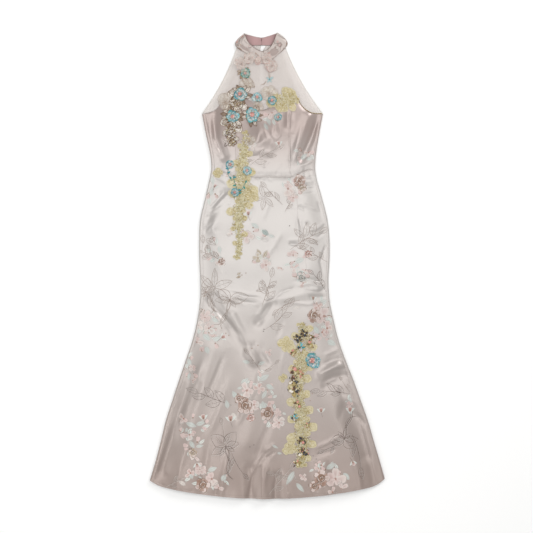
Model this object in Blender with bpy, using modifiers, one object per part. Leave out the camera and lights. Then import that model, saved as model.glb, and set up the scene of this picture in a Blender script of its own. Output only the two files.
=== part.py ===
"""Floor-length halter wedding dress, laid flat on its back with the front uppermost.

Width runs along X, length along Y with the collar at +Y, and Z is up from the surface it lies on.
The tables are in millimetres: x across the dress and h up from the hem's lowest point. The origin is
the middle of the outline, on the surface under the dress.

The dress is a flattened tube. Its back panels lie on the surface and roll round both sides to the
side seams, which show on top. The front panels span between those seams on a low loft with the
garment's largest folds in it, so there is a shallow hollow from the hem to the neck.
"""

import math

import bpy
from mathutils import Vector
from mathutils.bvhtree import BVHTree

MM = 0.001
MIDDLE_X = 0.8
MIDDLE_H = 750.65

SATIN = 1.5
SHEER = 1.0
COLLAR = 2.0
LINING = 0.8
LACE = 1.2
GAP = 0.4
YOKE_GAP = 0.9
NECK_GAP = 1.5
REST_GAP = 0.3
ROLL = 5.0

SIDE_COLUMNS = 7
CENTRE_COLUMNS = 13
SKIRT_ROWS = 41
BODICE_ROWS = 14
YOKE_ROWS = 6
ROLL_STEPS = 6

# Outline of the laid dress: h, left edge, right edge. The last rows are the armhole edges.
OUTLINE = (
    (50, -380.5, 381.5),
    (66, -375.5, 379.0),
    (123, -358.5, 363.0),
    (187, -342.0, 344.0),
    (252, -326.0, 325.0),
    (317, -305.0, 302.0),
    (381, -284.0, 279.0),
    (446, -262.0, 253.5),
    (510, -240.6, 231.0),
    (575, -225.0, 215.0),
    (640, -216.4, 202.0),
    (704, -215.8, 198.6),
    (769, -218.7, 202.0),
    (833, -219.0, 202.0),
    (898, -215.8, 195.4),
    (963, -201.0, 179.3),
    (1027, -186.4, 161.5),
    (1059, -180.2, 156.0),
    (1092, -180.9, 156.7),
    (1124, -186.4, 160.0),
    (1156, -193.2, 165.4),
    (1189, -200.3, 171.2),
    (1221, -206.0, 177.0),
    (1240, -210.0, 180.5),
    (1260, -193.8, 158.3),
    (1298, -170.0, 135.7),
    (1337, -148.6, 114.3),
    (1376, -129.2, 95.3),
    (1415, -113.0, 79.5),
    (1455, -98.5, 60.5),
)

# Distance of the side seams inside the outline: h, left, right.
SIDE_SEAM_INSET = (
    (0, 13, 30),
    (58, 13, 28),
    (278, 12, 21),
    (381, 11, 13),
    (446, 10, 8),
    (510, 10, 6.5),
    (1240, 9, 6.5),
)

# Lengthwise seam between the front centre and the right side front: h, x.
PRINCESS = (
    (0, 165),
    (200, 142),
    (400, 132),
    (675, 126),
    (833, 116),
    (898, 98),
    (972, 93),
    (1037, 78),
    (1060, 74),
    (1200, 73),
    (1247, 77),
    (1270, 84),
    (1295, 92),
)

# Middle of the dress, which leans a little as it lies: h, x.
CENTRE_LINE = (
    (0, 0),
    (500, -3),
    (900, -9),
    (1059, -12),
    (1240, -15),
    (1460, -19),
)

# Upper edge of the satin across both bust cups: x, h.
TOP_EDGE = (
    (-211, 1240),
    (-190, 1243),
    (-165, 1253),
    (-145, 1274),
    (-116, 1291),
    (-87, 1296),
    (-50, 1277),
    (-16, 1250),
    (22, 1266),
    (60, 1287),
    (95, 1290),
    (113, 1263),
    (140, 1243),
    (181, 1240),
)

# Back opening above the back bodice: h, left edge, right edge.
BACK_SLIT = (
    (1225, -16, -14.5),
    (1300, -19, -13),
    (1370, -24, -10),
    (1425, -22, -14),
    (1445, -22, -14),
    (1462, -21, -2),
)

# Distance of the back yoke's armhole edges inside the outline: h, inset.
BACK_YOKE_INSET = (
    (1225, 36),
    (1320, 26),
    (1462, 19),
)

# How the front lies: h, height of its edge, further rise inside, width over which it rises.
LOFT = (
    (0, 10, 8, 110),
    (600, 10, 8, 80),
    (1037, 10, 7, 60),
    (1240, 10, 7, 60),
    (1275, 7.5, 7, 50),
    (1325, 4.5, 7.5, 38),
    (1460, 4, 8, 26),
)

# Softly collapsed bust cups: x, h, half width, half height, rise.
CUPS = (
    (-88, 1232, 66, 62, 19),
    (52, 1232, 62, 60, 18),
)

# Largest folds: name, rise (negative for a trough), half width, path of (x, h).
FOLDS = (
    ("bodice left trough", -7.0, 15, ((-165, 1243), (-165, 1156), (-139, 1101))),
    ("bodice left ridge", 3.0, 12, ((-190, 1200), (-176, 1110))),
    ("bodice right ridge", 6.0, 17, ((136, 1227), (88, 1098))),
    ("bodice right trough", -6.0, 16, ((166, 1212), (112, 1098))),
    ("under the bust", -9.0, 24, ((-16, 1186), (-58, 1132), (3, 1124))),
    ("right of the bust", -6.0, 13, ((66, 1243), (68, 1200))),
    ("waist seam", -2.5, 12, ((-120, 1038), (84, 1038), (150, 1058))),
    ("hip left trough", -5.0, 14, ((-138, 984), (-190, 905))),
    ("hip left ridge", 4.0, 15, ((-108, 1000), (-178, 872))),
    ("hip right trough", -3.0, 14, ((152, 1006), (112, 1012))),
    ("knee ridge", 3.5, 15, ((-150, 655), (-70, 645), (-16, 632), (90, 652), (160, 672))),
    ("knee left trough", -8.0, 18, ((-188, 640), (-132, 568), (-74, 494))),
    ("knee left ridge", 7.0, 17, ((-113, 590), (-80, 520), (-36, 446))),
    ("knee right trough", -5.0, 15, ((19, 630), (-29, 568))),
    ("calf trough", -5.0, 14, ((-45, 488), (-8, 440))),
    ("left broad ridge", 5.0, 34, ((-180, 478), (-262, 252))),
    ("left edge trough", -6.0, 22, ((-236, 372), (-335, 92))),
    ("right short ridge", 5.0, 16, ((176, 400), (232, 436))),
    ("right short trough", -4.0, 16, ((190, 362), (240, 392))),
    ("right edge trough", -6.0, 24, ((262, 290), (312, 140))),
    ("middle broad ridge", 4.0, 36, ((-20, 390), (-60, 190))),
    ("hem left trough", -5.0, 20, ((-55, 95), (-48, 0))),
    ("hem middle ridge", 4.0, 16, ((-14, 100), (-12, 0))),
    ("hem right trough", -4.5, 16, ((28, 70), (30, 0))),
    ("hem far ridge", 4.0, 26, ((170, 120), (186, 0))),
)

# Collar stations from the back end round the front: top x, top h, middle x, middle h,
# bottom x, bottom h, height of the outer face, height of the outer face at the bottom edge.
COLLAR_STATIONS = (
    (-18.3, 1486.0, -18.3, 1474.0, -18.3, 1462.0, 0.0, 0.0),
    (-38.0, 1489.5, -39.5, 1475.5, -40.0, 1461.5, 0.0, 0.0),
    (-57.0, 1494.5, -62.0, 1477.0, -66.0, 1460.0, 0.0, 0.0),
    (-69.3, 1498.0, -94.0, 1474.0, -92.5, 1456.5, 0.0, 0.0),
    (-72.8, 1499.0, -99.3, 1473.0, -96.0, 1455.5, 1.5, 1.5),
    (-74.3, 1499.5, -100.8, 1472.6, -97.5, 1454.8, 5.0, 4.5),
    (-72.8, 1497.0, -99.0, 1471.0, -96.0, 1453.5, 8.5, 6.0),
    (-69.3, 1490.0, -93.5, 1466.5, -91.0, 1450.0, 10.5, 7.5),
    (-62.5, 1475.0, -76.0, 1456.5, -76.0, 1440.0, 12.0, 9.5),
    (-50.0, 1460.0, -55.5, 1444.0, -58.0, 1429.0, 12.5, 11.5),
    (-36.0, 1449.0, -38.0, 1432.0, -40.0, 1415.0, 12.5, 12.0),
    (-20.0, 1441.3, -19.7, 1421.5, -19.4, 1402.0, 12.5, 12.0),
    (-4.0, 1443.0, -1.0, 1424.5, 2.0, 1406.0, 12.5, 12.0),
    (9.0, 1453.0, 14.5, 1435.5, 20.0, 1418.0, 12.5, 12.0),
    (18.5, 1466.0, 28.0, 1449.0, 37.0, 1432.0, 12.5, 11.5),
    (25.5, 1482.0, 42.0, 1462.5, 50.5, 1445.0, 12.0, 9.5),
    (29.5, 1494.0, 56.5, 1470.0, 54.5, 1450.0, 10.5, 7.5),
    (32.3, 1500.0, 62.0, 1473.5, 58.0, 1453.0, 8.5, 6.0),
    (33.8, 1501.3, 63.6, 1474.6, 59.4, 1454.5, 5.0, 4.5),
    (32.3, 1500.8, 62.0, 1474.8, 57.9, 1455.5, 1.5, 1.5),
    (28.8, 1499.5, 56.5, 1475.5, 54.4, 1457.0, 0.0, 0.0),
    (17.0, 1495.5, 24.0, 1477.5, 28.0, 1460.5, 0.0, 0.0),
    (0.0, 1489.8, 1.5, 1475.7, 3.0, 1461.5, 0.0, 0.0),
    (-17.7, 1486.0, -17.7, 1474.0, -17.7, 1462.0, 0.0, 0.0),
)
COLLAR_BACK_LAST = 3
COLLAR_FRONT = (5, 18)

# Fabric flowers: name, x, h, radius, petals, height, colour.
FLOWERS = (
    ("bust_flower_1", -87, 1302, 20, 6, 6.0, "turquoise"),
    ("bust_flower_2", -32, 1292, 15, 6, 5.0, "turquoise"),
    ("bust_flower_3", 16, 1281, 14, 5, 5.0, "turquoise"),
    ("bust_flower_4", -110, 1227, 20, 7, 6.0, "turquoise"),
    ("bust_flower_5", -48, 1234, 23, 7, 6.0, "turquoise"),
    ("bust_flower_6", 35, 1226, 11, 5, 4.0, "turquoise"),
    ("yoke_flower", -70, 1370, 15, 6, 4.5, "green"),
    ("waist_flower_1", -118, 1076, 13, 5, 4.0, "turquoise"),
    ("waist_flower_2", -64, 1056, 13, 5, 4.0, "turquoise"),
    ("hip_flower", -104, 985, 13, 5, 4.0, "turquoise"),
    ("skirt_flower", 145, 446, 22, 6, 6.0, "turquoise"),
    ("collar_flower_1", -83, 1401, 14.5, 5, 4.5, "pink"),
    ("collar_flower_2", -55, 1417, 12.5, 5, 4.5, "pink"),
    ("collar_flower_3", -2, 1415, 12.5, 5, 4.5, "pink"),
    ("collar_flower_4", 14, 1393, 12.5, 5, 4.5, "pink"),
    ("collar_rosebud", -28.5, 1410, 10, 4, 7.0, "pink"),
)

# Stones sewn on the lace: name, x, h, radius, height, colour.
STONES = (
    ("stone_1", 121, 527, 5.0, 4.0, "jet"),
    ("stone_2", 98, 511, 5.0, 4.0, "jet"),
    ("stone_3", 104, 298, 4.5, 4.0, "coral"),
    ("stone_4", 116, 182, 5.0, 4.0, "coral"),
    ("stone_5", 119, 150, 4.5, 4.0, "jet"),
)

# Corded lace pieces: name, lobes on a side, colour, spine of (x, h, half width).
LACES = (
    (
        "lace_bust_right",
        3,
        "gold",
        ((24, 1268, 24), (60, 1284, 38), (99, 1286, 22)),
    ),
    (
        "lace_bust_left",
        5,
        "bronze",
        ((-84, 1326, 14), (-90, 1285, 30), (-112, 1228, 34), (-116, 1180, 24), (-108, 1136, 14)),
    ),
    (
        "lace_cascade_left",
        8,
        "gold",
        (
            (-66, 1186, 10),
            (-74, 1120, 22),
            (-82, 1050, 36),
            (-78, 985, 40),
            (-92, 905, 28),
            (-88, 830, 18),
            (-98, 768, 9),
        ),
    ),
    (
        "lace_column_skirt",
        9,
        "gold",
        (
            (113, 570, 16),
            (118, 505, 36),
            (108, 420, 34),
            (100, 345, 28),
            (112, 262, 36),
            (114, 190, 36),
            (112, 100, 20),
        ),
    ),
)


def rgb(red, green, blue):
    """Linear colour from values of 0 to 255."""
    linear = []
    for value in (red, green, blue):
        share = value / 255
        linear.append(share / 12.92 if share <= 0.04045 else ((share + 0.055) / 1.055) ** 2.4)
    return (*linear, 1.0)


# Finishes: name, colour, roughness, metallic.
FINISHES = {
    "satin": (rgb(212, 203, 200), 0.36, 0.0),
    "sheer": (rgb(214, 208, 204), 0.8, 0.0),
    "lining": (rgb(178, 146, 144), 0.6, 0.0),
    "gold": (rgb(205, 195, 140), 0.6, 0.0),
    "bronze": (rgb(140, 116, 92), 0.6, 0.0),
    "turquoise": (rgb(92, 172, 190), 0.55, 0.0),
    "green": (rgb(96, 150, 140), 0.55, 0.0),
    "pink": (rgb(228, 198, 192), 0.6, 0.0),
    "coral": (rgb(222, 140, 120), 0.3, 0.0),
    "jet": (rgb(48, 52, 66), 0.2, 0.0),
}


def ease(share):
    """Smooth step from 0 to 1."""
    share = min(max(share, 0.0), 1.0)
    return share * share * (3 - 2 * share)


def curve(table, at, column=1):
    """Value at a place in a table, on a smooth curve through its rows."""
    if at <= table[0][0]:
        return table[0][column]
    if at >= table[-1][0]:
        return table[-1][column]
    row = max(i for i in range(len(table) - 1) if table[i][0] <= at)

    def slope(i):
        low = max(i - 1, 0)
        high = min(i + 1, len(table) - 1)
        return (table[high][column] - table[low][column]) / (table[high][0] - table[low][0])

    width = table[row + 1][0] - table[row][0]
    t = (at - table[row][0]) / width
    start = table[row][column]
    end = table[row + 1][column]
    return (
        start * (1 + 2 * t) * (1 - t) ** 2
        + slope(row) * width * t * (1 - t) ** 2
        + end * t * t * (3 - 2 * t)
        - slope(row + 1) * width * t * t * (1 - t)
    )


def straight(table, at, column=1):
    """Value at a place in a table, on straight lines between its rows."""
    if at <= table[0][0]:
        return table[0][column]
    for low, high in zip(table, table[1:]):
        if at <= high[0]:
            share = (at - low[0]) / (high[0] - low[0])
            return low[column] + (high[column] - low[column]) * share
    return table[-1][column]


def edge_x(side, h):
    """Outline of the laid dress. The armhole corner is sharp, so the two parts are taken apart."""
    column = 1 if side < 0 else 2
    corner = next(i for i, row in enumerate(OUTLINE) if row[0] == 1240)
    part = OUTLINE[: corner + 1] if h <= 1240 else OUTLINE[corner:]
    return curve(part, h, column)


def side_seam_x(side, h):
    """Side seam on the upper face."""
    return edge_x(side, h) - side * straight(SIDE_SEAM_INSET, h, 1 if side < 0 else 2)


def princess_x(side, h):
    """Seam between the front centre and a side front."""
    right = curve(PRINCESS, h)
    return right if side > 0 else 2 * straight(CENTRE_LINE, h) - right


def hem(x):
    """Hem line: a shallow arc that turns up at both rolled sides."""
    turn = 18 if x > 0 else 11
    past = max(abs(x) - (330 if x > 0 else 326), 0) / 51
    return x * x / 3036 + turn * past**2.2


def waist(x):
    """Waist seam: level in the middle and higher at the sides."""
    return 1037 + 22 * ease((abs(x + 12) - 84) / 70)


def top_edge(x):
    """Upper edge of the satin front."""
    return curve(TOP_EDGE, x)


def back_top(_):
    """Upper edge of the satin back: straight across between the armhole corners."""
    return 1239.8


def path_distance(x, h, path):
    """Distance of a point from a path of straight lines."""
    nearest = 1e9
    for (ax, ah), (bx, bh) in zip(path, path[1:]):
        run = (bx - ax) ** 2 + (bh - ah) ** 2
        share = ((x - ax) * (bx - ax) + (h - ah) * (bh - ah)) / run
        share = min(max(share, 0.0), 1.0)
        nearest = min(nearest, math.hypot(x - ax - share * (bx - ax), h - ah - share * (bh - ah)))
    return nearest


def front_z(x, h):
    """Height of the front's outer face over the surface the dress lies on."""
    inside = min(x - edge_x(-1, h), edge_x(1, h) - x) - ROLL
    z = straight(LOFT, h, 1) + straight(LOFT, h, 2) * ease(inside / straight(LOFT, h, 3))
    relief = 0.0
    for cup_x, cup_h, half_x, half_h, rise in CUPS:
        relief += rise * math.exp(-(((x - cup_x) / half_x) ** 2) - ((h - cup_h) / half_h) ** 2)
    for _, rise, half, path in FOLDS:
        relief += rise * math.exp(-((path_distance(x, h, path) / half) ** 2))
    return z + relief * ease(inside / 32)


def level(x, share, low, high):
    """Height at a share of the way between two crosswise curves."""
    return low(x) + (high(x) - low(x)) * share


def station(line, share, low, high):
    """Where a lengthwise line is at a share of the way between two crosswise curves."""
    x = 0.0
    h = level(x, share, low, high)
    for _ in range(8):
        x = line(h)
        h = level(x, share, low, high)
    return x


def lower_waist(x):
    """Upper edge of the skirt at the waist seam."""
    return waist(x) - GAP / 2


def upper_waist(x):
    """Lower edge of the bodice at the waist seam."""
    return waist(x) + GAP / 2


def front_grid(left, right, low, high, columns, rows):
    """Rows of points over the front, between two lengthwise lines and two crosswise curves."""
    grid = []
    for j in range(rows + 1):
        share = j / rows
        start = station(left, share, low, high)
        end = station(right, share, low, high)
        row = []
        for i in range(columns + 1):
            x = start + (end - start) * i / columns
            h = level(x, share, low, high)
            row.append((x, h, front_z(x, h)))
        grid.append(row)
    return grid


def back_grid(side, low, high, rows):
    """Rows of points from a side seam, round the rolled side and under to the centre back seam."""
    grid = []
    for j in range(rows + 1):
        share = j / rows
        seam = station(lambda h: side_seam_x(side, h) + side * GAP, share, low, high)
        edge = station(lambda h: edge_x(side, h), share, low, high)
        middle = station(lambda h: straight(CENTRE_LINE, h) + side * GAP / 2, share, low, high)
        turn = edge - side * ROLL
        row = []
        for i in range(2):
            x = seam + (turn - seam) * i / 2
            h = level(x, share, low, high)
            row.append((x, h, front_z(x, h)))
        for i in range(ROLL_STEPS + 1):
            angle = math.pi / 2 - math.pi * i / ROLL_STEPS
            x = turn + side * ROLL * math.cos(angle)
            row.append((x, level(x, share, low, high), ROLL + ROLL * math.sin(angle)))
        for i in range(1, 4):
            x = turn + (middle - turn) * i / 3
            row.append((x, level(x, share, low, high), 0.0))
        grid.append(row)
    return grid


def yoke_front_grid(bodice_row):
    """Sheer front, from the satin's upper edge to the collar's lower edge."""
    corners = (
        (-207.5, top_edge(-207.5) + YOKE_GAP),
        (178.0, top_edge(178.0) + YOKE_GAP),
    )
    bottom = [corners[0]] + [(x, h + YOKE_GAP) for x, h, _ in bodice_row] + [corners[1]]
    first, last = COLLAR_FRONT
    neck = [(row[4], row[5] - NECK_GAP) for row in COLLAR_STATIONS[first : last + 1]]
    span = bottom[-1][0] - bottom[0][0]
    reach = neck[-1][0] - neck[0][0]
    grid = []
    for j in range(YOKE_ROWS + 1):
        share = j / YOKE_ROWS
        row = []
        for x, h in bottom:
            across = (x - bottom[0][0]) / span
            neck_x = neck[0][0] + reach * across
            neck_h = straight(neck, neck_x)
            bow = -10.0 * 4 * share * (1 - share) * (2 * across - 1)
            at_x = x + (neck_x - x) * share + bow
            at_h = h + (neck_h - h) * share
            row.append((at_x, at_h, front_z(at_x, at_h)))
        grid.append(row)
    return grid


def yoke_back_grid(side):
    """Sheer back half, flat on the surface, from the back bodice to the collar."""
    grid = []

    def outer(h):
        return edge_x(side, h) - side * straight(BACK_YOKE_INSET, h)

    def inner(h):
        return straight(BACK_SLIT, h, 1 if side < 0 else 2)

    def low(x):
        return back_top(x) + GAP

    def high(x):
        reach = abs(x + 18) / 78
        return 1461.4 - 5.4 * reach * reach

    for j in range(YOKE_ROWS + 1):
        share = j / YOKE_ROWS
        start = station(outer, share, low, high)
        end = station(inner, share, low, high)
        row = []
        for i in range(5):
            x = start + (end - start) * i / 4
            row.append((x, level(x, share, low, high), 0.0))
        grid.append(row)
    return grid


def collar_grid():
    """Outer face of the collar: one strip round the neck, with its ends at the centre back."""
    grid = [[], [], []]
    for top_x, top_h, mid_x, mid_h, low_x, low_h, z, low_z in COLLAR_STATIONS:
        grid[0].append((low_x, low_h, low_z))
        grid[1].append((mid_x, mid_h, (z + low_z) / 2 + 0.2 * min(z, 1.0)))
        grid[2].append((top_x, top_h, z))
    return grid


def lining_grid(side):
    """Lining on the inside of the collar's back, set down a little from its upper edge."""
    rows = COLLAR_STATIONS[: COLLAR_BACK_LAST + 1]
    if side > 0:
        rows = COLLAR_STATIONS[-1 : -COLLAR_BACK_LAST - 2 : -1]
    z = COLLAR + REST_GAP
    grid = [[], [], []]
    for top_x, top_h, mid_x, mid_h, low_x, low_h, _, _ in rows:
        shift = side * 3.0 * (abs(mid_x + 18) / 80)
        grid[0].append((low_x - shift, low_h + 0.6, z))
        grid[1].append((mid_x - shift, mid_h, z))
        grid[2].append((top_x - shift * 0.5, top_h - 1.2, z))
    return grid


def world(point):
    """Model coordinates of a table point."""
    x, h, z = point
    return Vector(((x - MIDDLE_X) * MM, (h - MIDDLE_H) * MM, z * MM))


def surface_faces(rows, columns, flip=False):
    """Triangles of a grid, all split the same way, facing up unless they are flipped."""
    faces = []
    for j in range(rows - 1):
        for i in range(columns - 1):
            a = j * columns + i
            b = a + columns
            for face in ((a, a + 1, b + 1), (a, b + 1, b)):
                faces.append(face[::-1] if flip else face)
    return faces


def material(name):
    """Material of a finish, made the first time it is asked for."""
    made = bpy.data.materials.get(name)
    if made:
        return made
    colour, roughness, metallic = FINISHES[name]
    made = bpy.data.materials.new(name)
    made.use_nodes = True
    shader = made.node_tree.nodes["Principled BSDF"]
    shader.inputs["Base Color"].default_value = colour
    shader.inputs["Roughness"].default_value = roughness
    shader.inputs["Metallic"].default_value = metallic
    made.diffuse_color = colour
    return made


def place(name, points, faces, finish, collection):
    """Mesh object from model coordinates, smooth-shaded, with one material."""
    mesh = bpy.data.meshes.new(name)
    mesh.from_pydata(points, [], faces)
    mesh.update()
    mesh.shade_smooth()
    piece = bpy.data.objects.new(name, mesh)
    collection.objects.link(piece)
    if finish:
        mesh.materials.append(material(finish))
    return piece


def thicken(piece, wall, outward=False):
    """Wall inward from the outer face, or outward from the face that rests on a panel."""
    shell = piece.modifiers.new("Wall", "SOLIDIFY")
    shell.thickness = wall * MM
    shell.offset = 1.0 if outward else -1.0
    shell.use_even_offset = False
    return shell


def panel(name, grid, wall, finish, collection, flip=False):
    """Cloth panel: its outer face with a wall of even thickness behind it."""
    points = [world(point) for row in grid for point in row]
    faces = surface_faces(len(grid), len(grid[0]), flip)
    piece = place(name, points, faces, finish, collection)
    thicken(piece, wall)
    return piece, (points, faces)


def lobed_outline(spine, lobes):
    """Leafy outline round a spine, with lobes along each side."""
    reach = [0.0]
    for (ax, ah, _), (bx, bh, _) in zip(spine, spine[1:]):
        reach.append(reach[-1] + math.hypot(bx - ax, bh - ah))
    table = [(s, *row) for s, row in zip(reach, spine)]
    steps = lobes * 4
    left = []
    right = []
    for i in range(steps + 1):
        s = reach[-1] * i / steps
        x = curve(table, s, 1)
        h = curve(table, s, 2)
        ahead = min(s + 1, reach[-1])
        behind = max(s - 1, 0)
        dx = curve(table, ahead, 1) - curve(table, behind, 1)
        dh = curve(table, ahead, 2) - curve(table, behind, 2)
        size = math.hypot(dx, dh)
        for points, sign, phase in ((left, 1, 0.0), (right, -1, 0.5)):
            wave = abs(math.sin(math.pi * (lobes * i / steps + phase)))
            end = min(s, reach[-1] - s) / curve(table, s, 3)
            half = curve(table, s, 3) * (0.68 + 0.36 * wave**0.7)
            half *= math.sqrt(1 - (1 - min(end, 1.0)) ** 2) if 0 < i < steps else 0.0
            half = max(half, 1.5)
            points.append((x - sign * half * dh / size, h + sign * half * dx / size))
    return left + right[::-1]


def prism(name, outline, collection):
    """Upright block with a given outline, to cut a lace piece from its sheet."""
    count = len(outline)
    points = [world((x, h, 2.0)) for x, h in outline]
    points += [world((x, h, 90.0)) for x, h in outline]
    faces = [tuple(range(count))[::-1], tuple(range(count, 2 * count))]
    for i in range(count):
        after = (i + 1) % count
        faces.append((i, after, after + count, i + count))
    block = place(name, points, faces, None, collection)
    block.hide_render = True
    block.display_type = "WIRE"
    return block


def turning(outline):
    """Twice the signed area of an outline: positive when it runs anticlockwise."""
    return sum(ax * bh - bx * ah for (ax, ah), (bx, bh) in zip(outline, outline[1:] + outline[:1]))


def lace(name, lobes, finish, spine, rows, collection, cutters):
    """Corded lace: the panels' own points moved out, cut to a leafy outline."""
    outline = lobed_outline(spine, lobes)
    if turning(outline) < 0:
        outline.reverse()
    low = min(h for _, h in outline) - 40
    high = max(h for _, h in outline) + 40
    near = [row for row in rows if min(p[1] for p in row) < high and max(p[1] for p in row) > low]
    points = [world((x, h, z + REST_GAP)) for row in near for x, h, z in row]
    faces = surface_faces(len(near), len(near[0]))
    piece = place(name, points, faces, finish, collection)
    thicken(piece, LACE, outward=True)
    cut = piece.modifiers.new("Outline", "BOOLEAN")
    cut.operation = "INTERSECT"
    cut.solver = "EXACT"
    cut.object = prism(name + "_outline", outline, cutters)
    return piece


def evaluated(piece):
    """Points and faces of a piece with its modifiers applied."""
    graph = bpy.context.evaluated_depsgraph_get()
    shown = piece.evaluated_get(graph)
    mesh = shown.to_mesh()
    points = [piece.matrix_world @ vertex.co for vertex in mesh.vertices]
    faces = [tuple(face.vertices) for face in mesh.polygons]
    shown.to_mesh_clear()
    return points, faces


class Rest:
    """What trimmings lie on: the upper faces of the panels and of the lace."""

    def __init__(self, surfaces):
        self.trees = [BVHTree.FromPolygons(points, faces) for points, faces in surfaces]

    def height(self, x, h):
        """Height of the uppermost face at a place, in millimetres."""
        start = world((x, h, 120.0))
        hits = [tree.ray_cast(start, Vector((0, 0, -1))) for tree in self.trees]
        found = [hit[0].z / MM for hit in hits if hit[0] is not None]
        return max(found) if found else 0.0

    def plane(self, x, h, radius):
        """Slopes and height of a flat back that clears everything under a round trimming."""
        reach = radius * 0.6
        slope_x = (self.height(x + reach, h) - self.height(x - reach, h)) / (2 * reach)
        slope_h = (self.height(x, h + reach) - self.height(x, h - reach)) / (2 * reach)
        lift = -1e9
        for ring in range(0, 9):
            for step in range(24):
                angle = 2 * math.pi * step / 24
                dx = radius * ring / 8 * math.cos(angle)
                dh = radius * ring / 8 * math.sin(angle)
                lift = max(lift, self.height(x + dx, h + dh) - slope_x * dx - slope_h * dh)
        return slope_x, slope_h, lift + REST_GAP + 0.05


def petalled(name, x, h, radius, petals, height, finish, rest, collection):
    """Fabric flower: raised petals round a domed centre, on a flat back."""
    slope_x, slope_h, base = rest.plane(x, h, radius)
    around = petals * 4
    rings = ((0.32, 0.9), (0.50, 0.45), (1.0, 0.3))
    points = [world((x, h, base + height * 1.15))]
    for share, rise in rings:
        for i in range(around):
            angle = 2 * math.pi * i / around
            wave = abs(math.cos(petals * angle / 2))
            outer = share > 0.9
            reach = radius * share * (0.74 + 0.26 * wave**0.8 if outer else 1)
            lift = height * rise * (0.65 + 0.35 * wave if outer else 1)
            dx = reach * math.cos(angle)
            dh = reach * math.sin(angle)
            points.append(world((x + dx, h + dh, base + slope_x * dx + slope_h * dh + lift)))
    for i in range(around):
        angle = 2 * math.pi * i / around
        wave = abs(math.cos(petals * angle / 2))
        reach = radius * 0.97 * (0.74 + 0.26 * wave**0.8)
        dx = reach * math.cos(angle)
        dh = reach * math.sin(angle)
        points.append(world((x + dx, h + dh, base + slope_x * dx + slope_h * dh)))
    faces = []
    for i in range(around):
        after = (i + 1) % around
        faces.append((0, 1 + i, 1 + after))
        for ring in range(len(rings)):
            inner = 1 + ring * around
            outer = inner + around
            faces.append((inner + i, outer + i, outer + after, inner + after))
    faces.append(tuple(1 + len(rings) * around + i for i in range(around))[::-1])
    return place(name, points, faces, finish, collection)


def stone(name, x, h, radius, height, finish, rest, collection):
    """Flat-backed domed stone."""
    slope_x, slope_h, base = rest.plane(x, h, radius)
    around = 10
    rings = ((0.6, 0.85), (0.92, 0.5), (1.0, 0.0))
    points = [world((x, h, base + height))]
    for share, rise in rings:
        for i in range(around):
            angle = 2 * math.pi * i / around
            dx = radius * share * math.cos(angle)
            dh = radius * share * math.sin(angle)
            points.append(world((x + dx, h + dh, base + slope_x * dx + slope_h * dh + height * rise)))
    faces = []
    for i in range(around):
        after = (i + 1) % around
        faces.append((0, 1 + i, 1 + after))
        for ring in range(len(rings) - 1):
            inner = 1 + ring * around
            outer = inner + around
            faces.append((inner + i, outer + i, outer + after, inner + after))
    faces.append(tuple(1 + (len(rings) - 1) * around + i for i in range(around))[::-1])
    return place(name, points, faces, finish, collection)


def build():
    """Every piece of the dress."""
    for old in list(bpy.data.objects):
        bpy.data.objects.remove(old, do_unlink=True)
    dress = bpy.data.collections.new("wedding_dress")
    cutters = bpy.data.collections.new("cutters")
    for collection in (dress, cutters):
        bpy.context.scene.collection.children.link(collection)

    surfaces = []
    front_rows = []
    parts = (
        ("skirt_front", hem, lower_waist, SKIRT_ROWS),
        ("bodice_front", upper_waist, top_edge, BODICE_ROWS),
    )
    for name, low, high, rows in parts:
        grids = {
            "left": front_grid(
                lambda h: side_seam_x(-1, h),
                lambda h: princess_x(-1, h) - GAP / 2,
                low,
                high,
                SIDE_COLUMNS,
                rows,
            ),
            "center": front_grid(
                lambda h: princess_x(-1, h) + GAP / 2,
                lambda h: princess_x(1, h) - GAP / 2,
                low,
                high,
                CENTRE_COLUMNS,
                rows,
            ),
            "right": front_grid(
                lambda h: princess_x(1, h) + GAP / 2,
                lambda h: side_seam_x(1, h),
                low,
                high,
                SIDE_COLUMNS,
                rows,
            ),
        }
        for where, grid in grids.items():
            _, surface = panel(f"{name}_{where}", grid, SATIN, "satin", dress)
            surfaces.append(surface)
        for left, centre, right in zip(grids["left"], grids["center"], grids["right"]):
            front_rows.append(left + centre + right)
    bodice_row = front_rows[-1]

    for name, low, high, rows in (
        ("skirt_back", hem, lower_waist, SKIRT_ROWS),
        ("bodice_back", upper_waist, back_top, BODICE_ROWS),
    ):
        for where, side in (("left", -1), ("right", 1)):
            grid = back_grid(side, low, high, rows)
            panel(f"{name}_{where}", grid, SATIN, "satin", dress, flip=side < 0)

    yoke_grid = yoke_front_grid(bodice_row)
    _, surface = panel("yoke_front", yoke_grid, SHEER, "sheer", dress)
    surfaces.append(surface)
    for where, side in (("left", -1), ("right", 1)):
        panel(f"yoke_back_{where}", yoke_back_grid(side), SHEER, "sheer", dress, flip=side < 0)

    _, surface = panel("collar", collar_grid(), COLLAR, "satin", dress)
    surfaces.append(surface)
    for where, side in (("left", -1), ("right", 1)):
        grid = lining_grid(side)
        piece, _ = panel(f"collar_lining_{where}", grid, LINING, "lining", dress, flip=side < 0)
        piece.modifiers["Wall"].offset = 1.0

    lace_rows = front_rows + [row[1:-1] for row in yoke_grid[1:]]
    for name, lobes, finish, spine in LACES:
        piece = lace(name, lobes, finish, spine, lace_rows, dress, cutters)
        surfaces.append(evaluated(piece))

    rest = Rest(surfaces)
    for name, x, h, radius, petals, height, finish in FLOWERS:
        petalled(name, x, h, radius, petals, height, finish, rest, dress)
    for name, x, h, radius, height, finish in STONES:
        stone(name, x, h, radius, height, finish, rest, dress)


build()
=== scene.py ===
"""Looks of the laid wedding dress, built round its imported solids.

Places are written in millimetres, x across the dress and h up from the hem's lowest point, or in units
of the photograph's frame, which Form.at turns into millimetres. The height z is over the surface that
the dress lies on.
"""

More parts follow.
